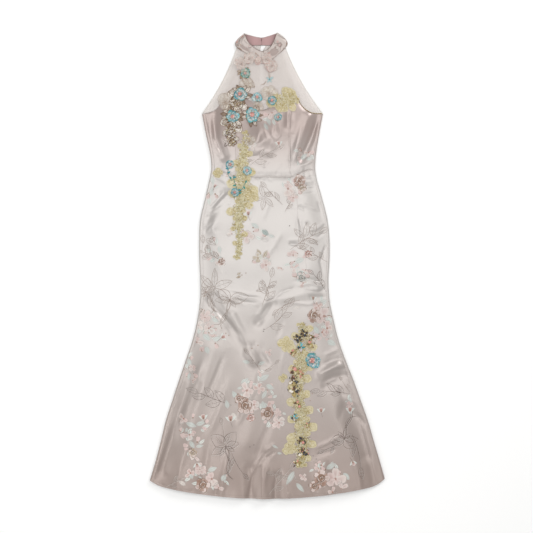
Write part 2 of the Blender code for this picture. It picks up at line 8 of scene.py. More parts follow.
import logging
import math
import random
from dataclasses import dataclass, field
from enum import Enum
from typing import Callable, NamedTuple

import bpy
import numpy as np
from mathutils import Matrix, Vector


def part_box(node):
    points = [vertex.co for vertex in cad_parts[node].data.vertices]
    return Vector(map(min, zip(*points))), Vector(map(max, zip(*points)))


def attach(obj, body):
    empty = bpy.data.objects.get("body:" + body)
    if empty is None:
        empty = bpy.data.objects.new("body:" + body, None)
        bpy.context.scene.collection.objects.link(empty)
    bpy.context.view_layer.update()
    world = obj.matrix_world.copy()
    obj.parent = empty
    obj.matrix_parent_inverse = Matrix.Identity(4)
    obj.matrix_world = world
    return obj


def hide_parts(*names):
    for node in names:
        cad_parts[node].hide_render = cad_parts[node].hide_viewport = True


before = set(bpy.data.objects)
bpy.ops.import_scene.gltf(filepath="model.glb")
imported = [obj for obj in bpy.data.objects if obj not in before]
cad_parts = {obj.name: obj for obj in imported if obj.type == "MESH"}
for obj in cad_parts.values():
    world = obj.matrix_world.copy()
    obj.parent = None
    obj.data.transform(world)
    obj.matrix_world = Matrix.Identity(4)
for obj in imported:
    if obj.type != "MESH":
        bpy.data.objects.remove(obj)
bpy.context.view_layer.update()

log = logging.getLogger("wedding_dress")

# Metres in a millimetre.
MM = 0.001

# Sizes in millimetres: middle of the solids, gaps between pieces, wall, roll,
# a unit of the frame, and the top of the satin back.
MIDDLE_X = 0.8
MIDDLE_H = 750.65
GAP = 0.4
YOKE_GAP = 0.9
NECK_GAP = 1.5
REST_GAP = 0.3
COLLAR_WALL = 2.0
ROLL = 5.0
UNIT = 3.23
BACK_TOP = 1239.8

# Places in the photograph's frame: the dress's middle, the hem's lowest point and the waist.
FRAME_X = 267
FRAME_H = 498
FRAME_WAIST = 176.5

# A full turn in radians, for random directions, and the least length that is divided by.
FULL_TURN = 6.3
TINY = 1e-9

Point = tuple[float, float]
Colour = tuple[float, float, float]
Array = np.ndarray

# Outline of the laid dress: h, left x, right x.
OUTLINE = (
    (50, -380.5, 381.5), (66, -375.5, 379), (123, -358.5, 363), (187, -342, 344), (252, -326, 325),
    (317, -305, 302), (381, -284, 279), (446, -262, 253.5), (510, -240.6, 231), (575, -225, 215),
    (640, -216.4, 202), (704, -215.8, 198.6), (769, -218.7, 202), (833, -219, 202), (898, -215.8, 195.4),
    (963, -201, 179.3), (1027, -186.4, 161.5), (1059, -180.2, 156), (1092, -180.9, 156.7),
    (1124, -186.4, 160), (1156, -193.2, 165.4), (1189, -200.3, 171.2), (1221, -206, 177),
    (1240, -210, 180.5), (1260, -193.8, 158.3), (1298, -170, 135.7), (1337, -148.6, 114.3),
    (1376, -129.2, 95.3), (1415, -113, 79.5), (1455, -98.5, 60.5),
)
ARMHOLE_CORNER = 1240

# How far the side seams lie inside the outline: h, left, right.
SIDE_SEAM_INSET = (
    (0, 13, 30), (58, 13, 28), (278, 12, 21), (381, 11, 13), (446, 10, 8), (510, 10, 6.5), (1240, 9, 6.5),
)

# Right lengthwise seam of the front: h, x.
PRINCESS = (
    (0, 165), (200, 142), (400, 132), (675, 126), (833, 116), (898, 98), (972, 93), (1037, 78), (1060, 74),
    (1200, 73), (1247, 77), (1270, 84), (1295, 92),
)

# Middle of the dress: h, x.
CENTRE_LINE = ((0, 0), (500, -3), (900, -9), (1059, -12), (1240, -15), (1460, -19))

# Upper edge of the satin front: x, h.
TOP_EDGE = (
    (-211, 1240), (-190, 1243), (-165, 1253), (-145, 1274), (-116, 1291), (-87, 1296), (-50, 1277),
    (-16, 1250), (22, 1266), (60, 1287), (95, 1290), (113, 1263), (140, 1243), (181, 1240),
)

# Edges of the slit in the back yoke: h, left x, right x.
BACK_SLIT = (
    (1225, -16, -14.5), (1300, -19, -13), (1370, -24, -10), (1425, -22, -14), (1445, -22, -14),
    (1462, -21, -2),
)

# How far the back yoke's armholes lie inside the outline: h, distance.
BACK_YOKE_INSET = ((1225, 36), (1320, 26), (1462, 19))

# Height of the front: h, height at the edge, further height inside, width of the rise.
LOFT = (
    (0, 10, 8, 110), (600, 10, 8, 80), (1037, 10, 7, 60), (1240, 10, 7, 60), (1275, 7.5, 7, 50),
    (1325, 4.5, 7.5, 38), (1460, 4, 8, 26),
)

# Cups: x, h, half width, half height, rise.
CUPS = ((-88, 1232, 66, 62, 19), (52, 1232, 62, 60, 18))

# Largest folds, as in the solids: rise, half width, path.
FOLDS = (
    (-7, 15, ((-165, 1243), (-165, 1156), (-139, 1101))), (3, 12, ((-190, 1200), (-176, 1110))),
    (6, 17, ((136, 1227), (88, 1098))), (-6, 16, ((166, 1212), (112, 1098))),
    (-9, 24, ((-16, 1186), (-58, 1132), (3, 1124))), (-6, 13, ((66, 1243), (68, 1200))),
    (-2.5, 12, ((-120, 1038), (84, 1038), (150, 1058))), (-5, 14, ((-138, 984), (-190, 905))),
    (4, 15, ((-108, 1000), (-178, 872))), (-3, 14, ((152, 1006), (112, 1012))),
    (3.5, 15, ((-150, 655), (-70, 645), (-16, 632), (90, 652), (160, 672))),
    (-8, 18, ((-188, 640), (-132, 568), (-74, 494))), (7, 17, ((-113, 590), (-80, 520), (-36, 446))),
    (-5, 15, ((19, 630), (-29, 568))), (-5, 14, ((-45, 488), (-8, 440))),
    (5, 34, ((-180, 478), (-262, 252))), (-6, 22, ((-236, 372), (-335, 92))),
    (5, 16, ((176, 400), (232, 436))), (-4, 16, ((190, 362), (240, 392))),
    (-6, 24, ((262, 290), (312, 140))), (4, 36, ((-20, 390), (-60, 190))), (-5, 20, ((-55, 95), (-48, 0))),
    (4, 16, ((-14, 100), (-12, 0))), (-4.5, 16, ((28, 70), (30, 0))), (4, 26, ((170, 120), (186, 0))),
)

# Smaller folds and creases: rise, half width, lean to one side, path in units of the frame.
CREASES = (
    (-4.2, 8, 0.3, ((212, 112), (215, 138), (226, 160))),
    (0.8, 5, 0.2, ((209, 120), (210, 138), (213, 158))),
    (2.4, 6, -0.3, ((303, 119), (299, 136), (294, 156))),
    (-5.5, 12, 0.3, ((322, 114), (311, 138), (297, 166))), (1, 7, 0, ((308, 116), (303, 134), (297, 152))),
    (1.6, 7, 0, ((326, 128), (322, 144), (318, 160))), (-3.4, 8, 0.3, ((259, 128), (258, 141), (246, 149))),
    (1.8, 4.5, 0, ((266, 146), (258, 156), (246, 158))),
    (1.8, 3.4, 0, ((271, 126), (272, 136), (276, 140), (280, 136), (281, 124))),
    (-2, 4, 0, ((276, 122), (276, 135))), (-2.6, 5, 0.2, ((287, 112), (287, 127))),
    (1.4, 4, 0.2, ((261, 112), (264, 130), (270, 146))), (-1.2, 3, 0, ((248, 160), (258, 165), (270, 168))),
    (-1.2, 3, 0.2, ((262, 169), (271, 160))), (1, 3, 0.2, ((276, 170), (284, 162))),
    (-1, 3, 0.2, ((284, 170), (290, 160))), (-1.4, 4, 0, ((300, 162), (314, 152))),
    (1.2, 4, 0, ((296, 168), (316, 160))), (-1.2, 4, 0, ((205, 142), (214, 150), (226, 164))),
    (-2, 3.4, 0.3, ((294, 181), (306, 178), (318, 177))),
    (-1.8, 3.4, 0.3, ((296, 188), (308, 187), (319, 185))), (-1.4, 3.4, 0.2, ((300, 195), (316, 193))),
    (1.4, 3.6, 0.2, ((297, 184), (317, 181))), (1.6, 4.5, 0, ((298, 202), (318, 212))),
    (-1.6, 5, 0, ((318, 200), (322, 214))), (1.5, 5, 0.3, ((233, 188), (222, 200), (210, 214))),
    (-1.7, 4.5, 0.3, ((226, 190), (216, 202), (206, 212))), (-1.5, 4, 0.2, ((214, 184), (203, 199))),
    (1.2, 4, 0.2, ((224, 205), (208, 216))), (-1.2, 4, 0.2, ((214, 222), (203, 233))),
    (-1.5, 4, 0, ((212, 178), (227, 186))), (-3.2, 4.6, 0.3, ((287.5, 244), (300, 245.5))),
    (1.4, 4.6, 0, ((287, 240), (300, 240))), (-2.4, 4.4, 0.2, ((261, 239), (269, 242))),
    (-2.6, 4.4, 0.2, ((304.5, 222), (312, 227))), (1.8, 5, 0, ((304, 231), (316, 229), (326, 222))),
    (-1.2, 3.6, 0, ((303, 236), (318, 237), (328, 229))), (-2.4, 4, 0.2, ((297, 206), (305, 211))),
    (1.5, 5, 0, ((299, 213), (303, 244))), (-1.4, 4.5, 0, ((296, 213), (299, 243))),
    (1.8, 9, 0, ((284, 228), (274, 246), (262, 262))), (-1.5, 7, 0, ((256, 206), (246, 224))),
    (-1.4, 6, 0.2, ((243, 184), (250, 198))), (1.4, 8, 0, ((270, 200), (262, 222))),
    (-1.8, 6, 0.2, ((328, 240), (320, 262), (324, 276))), (-1.4, 5, 0, ((205, 244), (214, 262))),
    (-2.6, 3.8, 0.3, ((291, 282), (308, 279), (328, 283))),
    (1.8, 4, 0.2, ((294, 286), (310, 284), (329, 288))),
    (-2.4, 3.8, 0.3, ((300, 290), (318, 292), (331, 287))), (-1.6, 3.8, 0.2, ((307, 297), (329, 297))),
    (-1.4, 4, 0.2, ((278, 293), (297, 287))), (-2.4, 4.2, 0.3, ((222, 293), (244, 302), (263, 303))),
    (1.6, 4.5, 0.2, ((226, 290), (246, 297), (264, 298))),
    (-1.6, 4, 0.2, ((262, 303), (275, 298), (284, 290))),
    (1.4, 4.5, 0, ((286, 302), (308, 304), (326, 300))),
    (-3.6, 7, 0.5, ((212, 304), (227, 322), (244, 342))),
    (2.2, 6, 0.2, ((204, 300), (218, 318), (232, 336))),
    (1.2, 9, -0.2, ((234, 334), (246, 350), (262, 374))),
    (-1.2, 11, 0, ((266, 334), (256, 372), (250, 412))), (2, 12, 0, ((232, 372), (222, 404), (206, 440))),
    (-2.3, 12, 0, ((276, 410), (262, 440), (252, 470))),
    (-1.2, 6, 0.4, ((276, 300), (266, 316), (252, 328))), (2.6, 14, 0, ((273, 303), (258, 322))),
    (4, 14, 0, ((224.3, 193.4), (208.2, 217.8))), (-2.8, 15, 0, ((233.6, 188.4), (211.9, 228))),
    (1.6, 7, 0, ((268, 300), (256, 318))), (-1.4, 7, 0, ((284, 318), (276, 340))),
    (4.1, 11, 0, ((206, 352), (192, 392), (174, 446))),
    (-3.4, 12, 0.2, ((192, 374), (175, 424), (154, 490))), (2.6, 6, 0, ((186, 372), (170, 416))),
    (-2.2, 8, 0, ((226, 350), (216, 376), (206, 398))), (2.3, 9, 0, ((262, 372), (250, 398), (236, 428))),
    (3.8, 8, 0.3, ((316, 375), (334, 367), (352, 364))),
    (-3.2, 8, 0.2, ((318, 383), (334, 376), (354, 374))), (1.4, 7, 0, ((322, 356), (344, 346))),
    (-2, 8, 0, ((322, 364), (346, 356))), (-2.9, 10, 0.2, ((338, 404), (374, 428))),
    (1.7, 10, 0, ((336, 394), (372, 410))), (2.2, 7, 0.2, ((312, 449), (330, 441), (342, 434))),
    (-2, 7, 0.2, ((314, 456), (338, 448))), (-2.7, 8, 0.4, ((268, 446), (253, 476), (244, 516))),
    (1.2, 8, 0, ((276, 444), (264, 478), (258, 518))),
    (-2.1, 6.5, 0.2, ((281, 462), (275, 484), (274, 514))),
    (1.6, 5, 0, ((262, 452), (270, 447), (276, 441))), (-2.3, 4, 0, ((266, 458), (276, 450))),
    (1.2, 6.5, 0, ((286, 468), (291, 512))), (-1.4, 9, 0, ((328, 456), (340, 510))),
    (1.9, 11, 0, ((346, 430), (358, 472), (366, 512))), (-2.1, 11, 0, ((352, 404), (366, 448), (378, 500))),
    (1.8, 10, 0, ((196, 420), (180, 466), (172, 512))), (-1.6, 11, 0, ((212, 430), (203, 476), (200, 516))),
    (1.6, 10, 0, ((230, 440), (222, 486), (221, 520))), (1.2, 8, 0, ((290, 330), (280, 372), (284, 402))),
    (-1.9, 9, 0, ((338, 380), (344, 402), (338, 424))),
)

# Collar stations from the back end round the front: top x, top h, middle x, middle h,
# bottom x, bottom h, height of the outer face, height of the outer face at the bottom edge.
COLLAR_STATIONS = (
    (-18.3, 1486, -18.3, 1474, -18.3, 1462, 0, 0), (-38, 1489.5, -39.5, 1475.5, -40, 1461.5, 0, 0),
    (-57, 1494.5, -62, 1477, -66, 1460, 0, 0), (-69.3, 1498, -94, 1474, -92.5, 1456.5, 0, 0),
    (-72.8, 1499, -99.3, 1473, -96, 1455.5, 1.5, 1.5),
    (-74.3, 1499.5, -100.8, 1472.6, -97.5, 1454.8, 5, 4.5), (-72.8, 1497, -99, 1471, -96, 1453.5, 8.5, 6),
    (-69.3, 1490, -93.5, 1466.5, -91, 1450, 10.5, 7.5), (-62.5, 1475, -76, 1456.5, -76, 1440, 12, 9.5),
    (-50, 1460, -55.5, 1444, -58, 1429, 12.5, 11.5), (-36, 1449, -38, 1432, -40, 1415, 12.5, 12),
    (-20, 1441.3, -19.7, 1421.5, -19.4, 1402, 12.5, 12), (-4, 1443, -1, 1424.5, 2, 1406, 12.5, 12),
    (9, 1453, 14.5, 1435.5, 20, 1418, 12.5, 12), (18.5, 1466, 28, 1449, 37, 1432, 12.5, 11.5),
    (25.5, 1482, 42, 1462.5, 50.5, 1445, 12, 9.5), (29.5, 1494, 56.5, 1470, 54.5, 1450, 10.5, 7.5),
    (32.3, 1500, 62, 1473.5, 58, 1453, 8.5, 6), (33.8, 1501.3, 63.6, 1474.6, 59.4, 1454.5, 5, 4.5),
    (32.3, 1500.8, 62, 1474.8, 57.9, 1455.5, 1.5, 1.5), (28.8, 1499.5, 56.5, 1475.5, 54.4, 1457, 0, 0),
    (17, 1495.5, 24, 1477.5, 28, 1460.5, 0, 0), (0, 1489.8, 1.5, 1475.7, 3, 1461.5, 0, 0),
    (-17.7, 1486, -17.7, 1474, -17.7, 1462, 0, 0),
)
COLLAR_BACK_LAST = 3
COLLAR_FRONT = (5, 18)


class Shade(NamedTuple):
    """A linear colour."""

    red: float
    green: float
    blue: float


def rgb(*parts: float) -> Colour:
    """Linear colour from three values of 0 to 255."""
    shares = [part / 255 for part in parts]
    return Shade(*(s / 12.92 if s <= 0.04045 else ((s + 0.055) / 1.055) ** 2.4 for s in shares))


def blend(one: Colour, other: Colour, share: float) -> Colour:
    """Colour at a share of the way between two others."""
    return Shade(*(a + (b - a) * share for a, b in zip(one, other)))


class Ink(Shade, Enum):
    """Colours of the print, and the pale colour of the painted highlight beside its drawn lines."""

    LINE = rgb(96, 78, 70)
    FAINT = rgb(130, 115, 106)
    PINK = rgb(208, 186, 181)
    ROSE = rgb(182, 148, 143)
    AQUA = rgb(194, 203, 198)
    TEAL = rgb(142, 162, 158)
    BROWN = rgb(138, 103, 78)
    UMBER = rgb(92, 64, 44)
    OLIVE = rgb(162, 146, 116)
    CORAL = rgb(168, 114, 102)
    CREAM = rgb(216, 209, 202)
    DARK = rgb(70, 58, 56)
    MINT = rgb(212, 218, 212)
    # Not an ink: the pale colour of the painted highlight beside each drawn line.
    LIGHT = rgb(224, 218, 212)


class Thread(Shade, Enum):
    """Colours of cords, beads and trimmings."""

    GOLD = rgb(196, 184, 137)
    PALE_GOLD = rgb(216, 208, 174)
    OLD_GOLD = rgb(172, 152, 96)
    BRONZE = rgb(138, 104, 70)
    TAUPE = rgb(176, 156, 138)
    LINEN = rgb(208, 197, 187)
    PEARL = rgb(228, 222, 212)
    TURQUOISE = rgb(26, 140, 154)
    SKY = rgb(104, 186, 196)
    GREEN = rgb(40, 138, 130)
    LAVENDER = rgb(204, 194, 200)
    CORAL = rgb(214, 148, 138)
    PINK = rgb(222, 202, 193)
    ROSE = rgb(198, 160, 150)
    DEEP_ROSE = rgb(160, 104, 98)
    UMBER = rgb(80, 54, 34)
    JET = rgb(38, 42, 54)
    PIPING = rgb(128, 106, 98)
    STITCH = rgb(150, 133, 126)


BLACK = rgb(0, 0, 0)

# The satin's colours, with painted shade toward the hem and on the bodice, and the heights where one turns
# into the next.
SHADED_BODICE_SATIN = rgb(166, 150, 144)
UPPER_SATIN = rgb(185, 180, 176)
SHADED_LOWER_SATIN = rgb(151, 134, 126)
HEM_SHADE_LOW = 60.0
HEM_SHADE_HIGH = 700.0
BODICE_SHADE_LOW = 1030.0
BODICE_SHADE_HIGH = 1190.0


def part_way(h: float, low: float, high: float) -> float:
    """How far a height is from one to another, kept from 0 to 1."""
    return min(max((h - low) / (high - low), 0.0), 1.0)


def satin_tint(h: float) -> Colour:
    """Satin's colour at a height up the dress, with its painted shade toward the hem and on the bodice."""
    skirt = blend(SHADED_LOWER_SATIN, UPPER_SATIN, part_way(h, HEM_SHADE_LOW, HEM_SHADE_HIGH))
    return blend(skirt, SHADED_BODICE_SATIN, part_way(h, BODICE_SHADE_LOW, BODICE_SHADE_HIGH))


def operator(operation: str, swapped: bool = False) -> Callable:
    """Method of Socket for one of Python's operators.

    Args:
        operation: Blender's name of the operation.
        swapped: True where the socket is the second of the two values.

    Returns:
        The method.
    """

    def method(self: "Socket", other: object) -> "Socket":
        """Math node on the socket and another value."""
        return self.math(operation, other, self) if swapped else self.math(operation, self, other)

    return method


class Socket:
    """A shader socket, whose sums are written as Python expressions."""

    def __init__(self, graph: "Graph", link: bpy.types.NodeSocket) -> None:
        """Keeps the graph that new nodes go into, and the output socket of this value."""
        self.graph = graph
        self.link = link

    def math(self, operation: str, first: object, second: object) -> "Socket":
        """Result of a math node on two values, each a Socket or a number."""
        made = self.graph.node("ShaderNodeMath", {"operation": operation}, {0: first, 1: second})
        return Socket(self.graph, made.outputs[0])

    __add__ = operator("ADD")
    __radd__ = operator("ADD", True)
    __sub__ = operator("SUBTRACT")
    __rsub__ = operator("SUBTRACT", True)
    __mul__ = operator("MULTIPLY")
    __rmul__ = operator("MULTIPLY", True)

    def clamped(self) -> "Socket":
        """The value, kept from 0 to 1."""
        return self.math("MINIMUM", self.math("MAXIMUM", self, 0.0), 1.0)


class Graph:
    """A material's node graph."""

    def __init__(self, name: str) -> None:
        """Makes the material.

        Args:
            name: The material's name.
        """
        self.material = bpy.data.materials.new(name)
        self.material.use_nodes = True
        self.nodes = self.material.node_tree.nodes
        self.links = self.material.node_tree.links
        self.shader = self.nodes["Principled BSDF"]

    def node(self, kind: str, settings: dict, sockets: dict) -> bpy.types.Node:
        """Adds a node.

        Args:
            kind: Blender's node type.
            settings: The node's own settings, set first.
            sockets: Values or links of its inputs, by name or number.

        Returns:
            The node.
        """
        made = self.nodes.new(kind)
        for name, value in settings.items():
            setattr(made, name, value)
        for name, value in sockets.items():
            self.feed(made.inputs[name], value)
        return made

    def feed(self, target: bpy.types.NodeSocket, value: object) -> None:
        """Links or sets one input.

        Args:
            target: The input socket.
            value: A Socket, an output socket, or a plain value.
        """
        if isinstance(value, Socket):
            self.links.new(value.link, target)
        elif isinstance(value, bpy.types.NodeSocket):
            self.links.new(value, target)
        else:
            target.default_value = value

    def place(self) -> bpy.types.NodeSocket:
        """Coordinates on the piece, in metres."""
        return self.node("ShaderNodeTexCoord", {}, {}).outputs["Object"]

    def tint(self) -> bpy.types.NodeSocket:
        """The colour stored on the piece's points."""
        return self.node("ShaderNodeAttribute", {"attribute_name": "tint"}, {}).outputs[0]

    def stretched(self, *scale: float) -> bpy.types.NodeSocket:
        """Coordinates scaled along x, y and z."""
        sockets = {"Vector": self.place(), "Scale": scale}
        return self.node("ShaderNodeMapping", {}, sockets).outputs[0]

    def noise(self, vector: bpy.types.NodeSocket, scale: float, detail: float) -> Socket:
        """Noise from 0 to 1, with a scale in blobs a unit and a number of finer layers."""
        sockets = {"Vector": vector, "Scale": scale, "Detail": detail, "Roughness": 0.55}
        return Socket(self, self.node("ShaderNodeTexNoise", {}, sockets).outputs[0])

    def mixed(self, share: object, one: object, other: object) -> bpy.types.NodeSocket:
        """Colour mixed from two.

        Args:
            share: Share of the second.
            one: First colour, or a socket of it.
            other: Second colour, or a socket of it.

        Returns:
            The mixed colour.
        """
        sockets = {0: share}
        for name, colour in ((6, one), (7, other)):
            sockets[name] = colour if isinstance(colour, bpy.types.NodeSocket) else (*colour, 1.0)
        return self.node("ShaderNodeMix", {"data_type": "RGBA"}, sockets).outputs[2]

    def bump(self, height: Socket, strength: float, distance: float) -> None:
        """Feeds a bump to the shader's normal, with its greatest height in metres as the distance."""
        sockets = {"Height": height, "Strength": strength, "Distance": distance}
        self.surface({"Normal": self.node("ShaderNodeBump", {}, sockets).outputs[0]})

    def surface(self, values: dict) -> None:
        """Links or sets inputs of the shader, by name."""
        for name, value in values.items():
            self.feed(self.shader.inputs[name], value)


@dataclass(frozen=True)
class SatinFinish:
    """Duchess satin: a soft gloss, a fine weave, and a colour painted darker and more mauve toward the hem,
    and darker on the bodice, as shade.
    """

    name: str = "dress_satin"
    roughness: float = 0.34
    metallic: float = 0.3
    coat: float = 0.5
    from_tint: bool = False

    @staticmethod
    def above(up: Socket, low: float, high: float) -> Socket:
        """How far a height is from one place up the dress to another, from 0 to 1."""
        low, high = (low - MIDDLE_H) * MM, (high - MIDDLE_H) * MM
        return ((up - low) * (1 / (high - low))).clamped()

    def material(self) -> bpy.types.Material:
        """Makes the material.

        Returns:
            The material.
        """
        graph = Graph(self.name)
        place = graph.place()
        if self.from_tint:
            colour = graph.tint()
        else:
            up = Socket(graph, graph.node("ShaderNodeSeparateXYZ", {}, {0: place}).outputs["Y"])
            # Painted shade: the colour darkens toward the hem and again on the bodice.
            skirt = graph.mixed(self.above(up, HEM_SHADE_LOW, HEM_SHADE_HIGH), SHADED_LOWER_SATIN, UPPER_SATIN)
            colour = graph.mixed(self.above(up, BODICE_SHADE_LOW, BODICE_SHADE_HIGH), skirt, SHADED_BODICE_SATIN)
        cloud = graph.noise(place, 14.0, 2.0)
        warp = graph.noise(graph.stretched(2600.0, 240.0, 240.0), 1.0, 1.0)
        slub = graph.noise(graph.stretched(90.0, 900.0, 90.0), 1.0, 1.0)
        graph.bump(warp * 0.6 + slub * 0.4, 0.12, 0.00025)
        graph.surface(
            {
                "Base Color": graph.mixed(cloud * 0.12, colour, rgb(172, 160, 154)),
                "Roughness": self.roughness - 0.05 + slub * 0.1,
                "Metallic": self.metallic,
                "Coat Weight": self.coat,
                "Coat Roughness": 0.3,
                "Coat IOR": 1.6,
                "Sheen Weight": 0.15,
                "Sheen Roughness": 0.4,
            }
        )
        return graph.material


@dataclass(frozen=True)
class TintedFinish:
    """A finish whose colour is stored on the piece's points, with its own grain and gloss."""

    name: str
    roughness: float
    metallic: float = 0.0
    coat: float = 0.0
    sheen: float = 0.0
    grain: float = 900.0
    depth: float = 0.0002
    variation: float = 0.2
    shade: Colour = rgb(90, 78, 70)

    def material(self) -> bpy.types.Material:
        """Makes the material.

        Returns:
            The material.
        """
        graph = Graph(self.name)
        grain = graph.noise(graph.place(), self.grain, 2.0)
        cloud = graph.noise(graph.place(), self.grain * 0.12, 1.0)
        flecks = (grain * cloud * self.variation * 2.0).clamped()
        graph.bump(grain, 0.35, self.depth)
        graph.surface(
            {
                "Base Color": graph.mixed(flecks, graph.tint(), self.shade),
                "Roughness": self.roughness - 0.08 + grain * 0.16,
                "Metallic": self.metallic,
                "Coat Weight": self.coat,
                "Coat Roughness": 0.12,
                "Sheen Weight": self.sheen,
            }
        )
        return graph.material


@dataclass(frozen=True)
class NetFinish:
    """Fine net: threads round small open cells, with a soft hand."""

    name: str
    colour: Colour
    cell: float = 0.0011
    open_alpha: float = 0.42
    thread_alpha: float = 0.9

    def material(self) -> bpy.types.Material:
        """Makes the material.

        Returns:
            The material.
        """
        graph = Graph(self.name)
        place = graph.place()
        settings = {"feature": "DISTANCE_TO_EDGE", "voronoi_dimensions": "2D"}
        sockets = {"Vector": place, "Scale": 1 / self.cell, "Randomness": 0.35}
        cells = graph.node("ShaderNodeTexVoronoi", settings, sockets)
        edge = Socket(graph, cells.outputs["Distance"])
        thread = (1.0 - edge * 5.0).clamped()
        cloud = graph.noise(place, 30.0, 2.0)
        dim = blend(self.colour, (0.2, 0.2, 0.2), 0.3)
        graph.bump(thread, 0.3, 0.0002)
        graph.surface(
            {
                "Alpha": self.open_alpha + thread * (self.thread_alpha - self.open_alpha),
                "Base Color": graph.mixed(cloud * 0.2, self.colour, dim),
                "Roughness": 0.62,
                "Sheen Weight": 0.2,
            }
        )
        return graph.material


class Finish(Enum):
    """The finishes that pieces are made in."""

    SATIN = SatinFinish()
    PRINT = SatinFinish("printed_satin", metallic=0.14, coat=0.12, from_tint=True)
    LINING = TintedFinish("collar_lining", 0.45, sheen=0.3, grain=1500.0, variation=0.06)
    PETAL = TintedFinish("petal_cloth", 0.55, sheen=0.35, grain=1200.0, variation=0.12)
    CORD = TintedFinish("lace_cord", 0.5, metallic=0.1, grain=1600.0, depth=0.0004, variation=0.14)
    SEQUIN = TintedFinish("sequin", 0.3, metallic=0.3, coat=0.3, grain=500.0, variation=0.06)
    BEAD = TintedFinish("bead", 0.2, coat=0.7, grain=500.0, variation=0.05)
    STONE = TintedFinish("cut_stone", 0.12, coat=0.9, grain=300.0, variation=0.1)
    THREAD = TintedFinish("sewing_thread", 0.6, grain=2500.0, variation=0.1)
    SHEER = NetFinish("yoke_net", rgb(234, 226, 221), 0.0011, 0.34, 0.74)
    ORGANZA = NetFinish("organza", rgb(238, 226, 219), 0.0009, 0.24, 0.58)
    GOLD_NET = NetFinish("gold_net", rgb(222, 213, 170), 0.0016, 0.5, 0.95)
    PEARL_NET = NetFinish("pearl_net", rgb(240, 232, 222), 0.0014, 0.3, 0.8)
    BRONZE_NET = NetFinish("bronze_net", rgb(250, 243, 233), 0.0016, 0.56, 0.96)

    def material(self) -> bpy.types.Material:
        """The finish's material, made the first time it is asked for."""
        made = bpy.data.materials.get(self.value.name)
        return made or self.value.material()


def ease(share: Array) -> Array:
    """Smooth step from 0 to 1."""
    share = np.clip(share, 0.0, 1.0)
    return share * share * (3 - 2 * share)


def curve(table: tuple, at: Array, column: int = 1) -> Array:
    """Values on a smooth curve through a table's rows.

    Args:
        table: Rows that start with the place.
        at: Places to read.
        column: Column to read.

    Returns:
        The values.
    """
    rows = np.asarray(table, float)
    keys = rows[:, 0]
    values = rows[:, column]
    at = np.clip(np.asarray(at, float), keys[0], keys[-1])
    low = np.r_[0, np.arange(len(keys) - 1)]
    high = np.r_[np.arange(1, len(keys)), len(keys) - 1]
    slopes = (values[high] - values[low]) / (keys[high] - keys[low])
    row = np.clip(np.searchsorted(keys, at, side="right") - 1, 0, len(keys) - 2)
    width = keys[row + 1] - keys[row]
    t = (at - keys[row]) / width
    return (
        values[row] * (1 + 2 * t) * (1 - t) ** 2
        + slopes[row] * width * t * (1 - t) ** 2
        + values[row + 1] * t * t * (3 - 2 * t)
        - slopes[row + 1] * width * t * t * (1 - t)
    )


def straight(table: tuple, at: Array, column: int = 1) -> Array:
    """Values of a column on straight lines between a table's rows, which start with the place."""
    rows = np.asarray(table, float)
    return np.interp(at, rows[:, 0], rows[:, column])


def smooth_path(points: Array, step: float) -> Array:
    """Evenly spaced points on a smooth curve through others.

    Args:
        points: Points to pass through.
        step: Distance between the new points.

    Returns:
        The new points.
    """
    points = np.asarray(points, float)
    if len(points) < 2:
        return points
    reach = np.r_[0, np.cumsum(np.linalg.norm(np.diff(points, axis=0), axis=1))]
    count = max(int(math.ceil(reach[-1] / step)), 2)
    at = np.linspace(0, reach[-1], count + 1)
    table = np.column_stack([reach, points])
    return np.column_stack([curve(table, at, c + 1) for c in range(points.shape[1])])


def heading(angle: Array | float) -> Array:
    """Unit step in a direction in radians, or one step a direction."""
    if np.ndim(angle):
        return np.stack([np.cos(angle), np.sin(angle)], axis=-1)
    return np.array([math.cos(angle), math.sin(angle)])


def turned(along: Array | float, aside: Array | float, angle: float) -> Array:
    """Steps of x and h from distances along a direction in radians, and to the left of it."""
    cos, sin = math.cos(angle), math.sin(angle)
    return np.stack([along * cos - aside * sin, along * sin + aside * cos], axis=-1)


def sideways(path: Array) -> Array:
    """Unit steps to the left of a path of x and h, one a point."""
    ahead = np.gradient(path, axis=0)
    ahead /= np.maximum(np.linalg.norm(ahead, axis=1, keepdims=True), TINY)
    return np.column_stack([-ahead[:, 1], ahead[:, 0]])


def between(table: Array, column: Array, row: Array) -> Array:
    """Values at places between the points of a grid.

    Args:
        table: Rows by columns of values or of points.
        column: Places along the rows.
        row: Places across the rows.

    Returns:
        One value or point a place.
    """
    i, j = column.astype(int), row.astype(int)
    u, v = column - i, row - j
    if table.ndim == 3:
        u, v = u[:, None], v[:, None]
    low = table[j, i] * (1 - u) + table[j, i + 1] * u
    high = table[j + 1, i] * (1 - u) + table[j + 1, i + 1] * u
    return low * (1 - v) + high * v


def shaded(one: Colour, other: Colour, share: Array) -> Array:
    """One colour a point, at its share of the way between two others."""
    low, high = np.asarray(one), np.asarray(other)
    return low + (high - low) * share[..., None]


def bands(start: int, count: int, rings: int) -> list[tuple]:
    """Quads between rings of points.

    Args:
        start: Number of the first ring's first point.
        count: Points in a ring.
        rings: Number of bands.

    Returns:
        The corners of each quad.
    """
    faces = []
    for a in range(start, start + rings * count, count):
        for i in range(count):
            after = (i + 1) % count
            faces.append((a + i, a + count + i, a + count + after, a + after))
    return faces


def disc(count: int, rings: int = 0) -> list[tuple]:
    """Faces of a disc: a fan round its middle point, then bands between its rings."""
    return [(0, 1 + i, 1 + (i + 1) % count) for i in range(count)] + bands(1, count, rings)


def level(x: Array, low: Callable, high: Callable, share: Array) -> Array:
    """Heights at x, at a share of the way from a lower curve to an upper one."""
    return low(x) + (high(x) - low(x)) * share


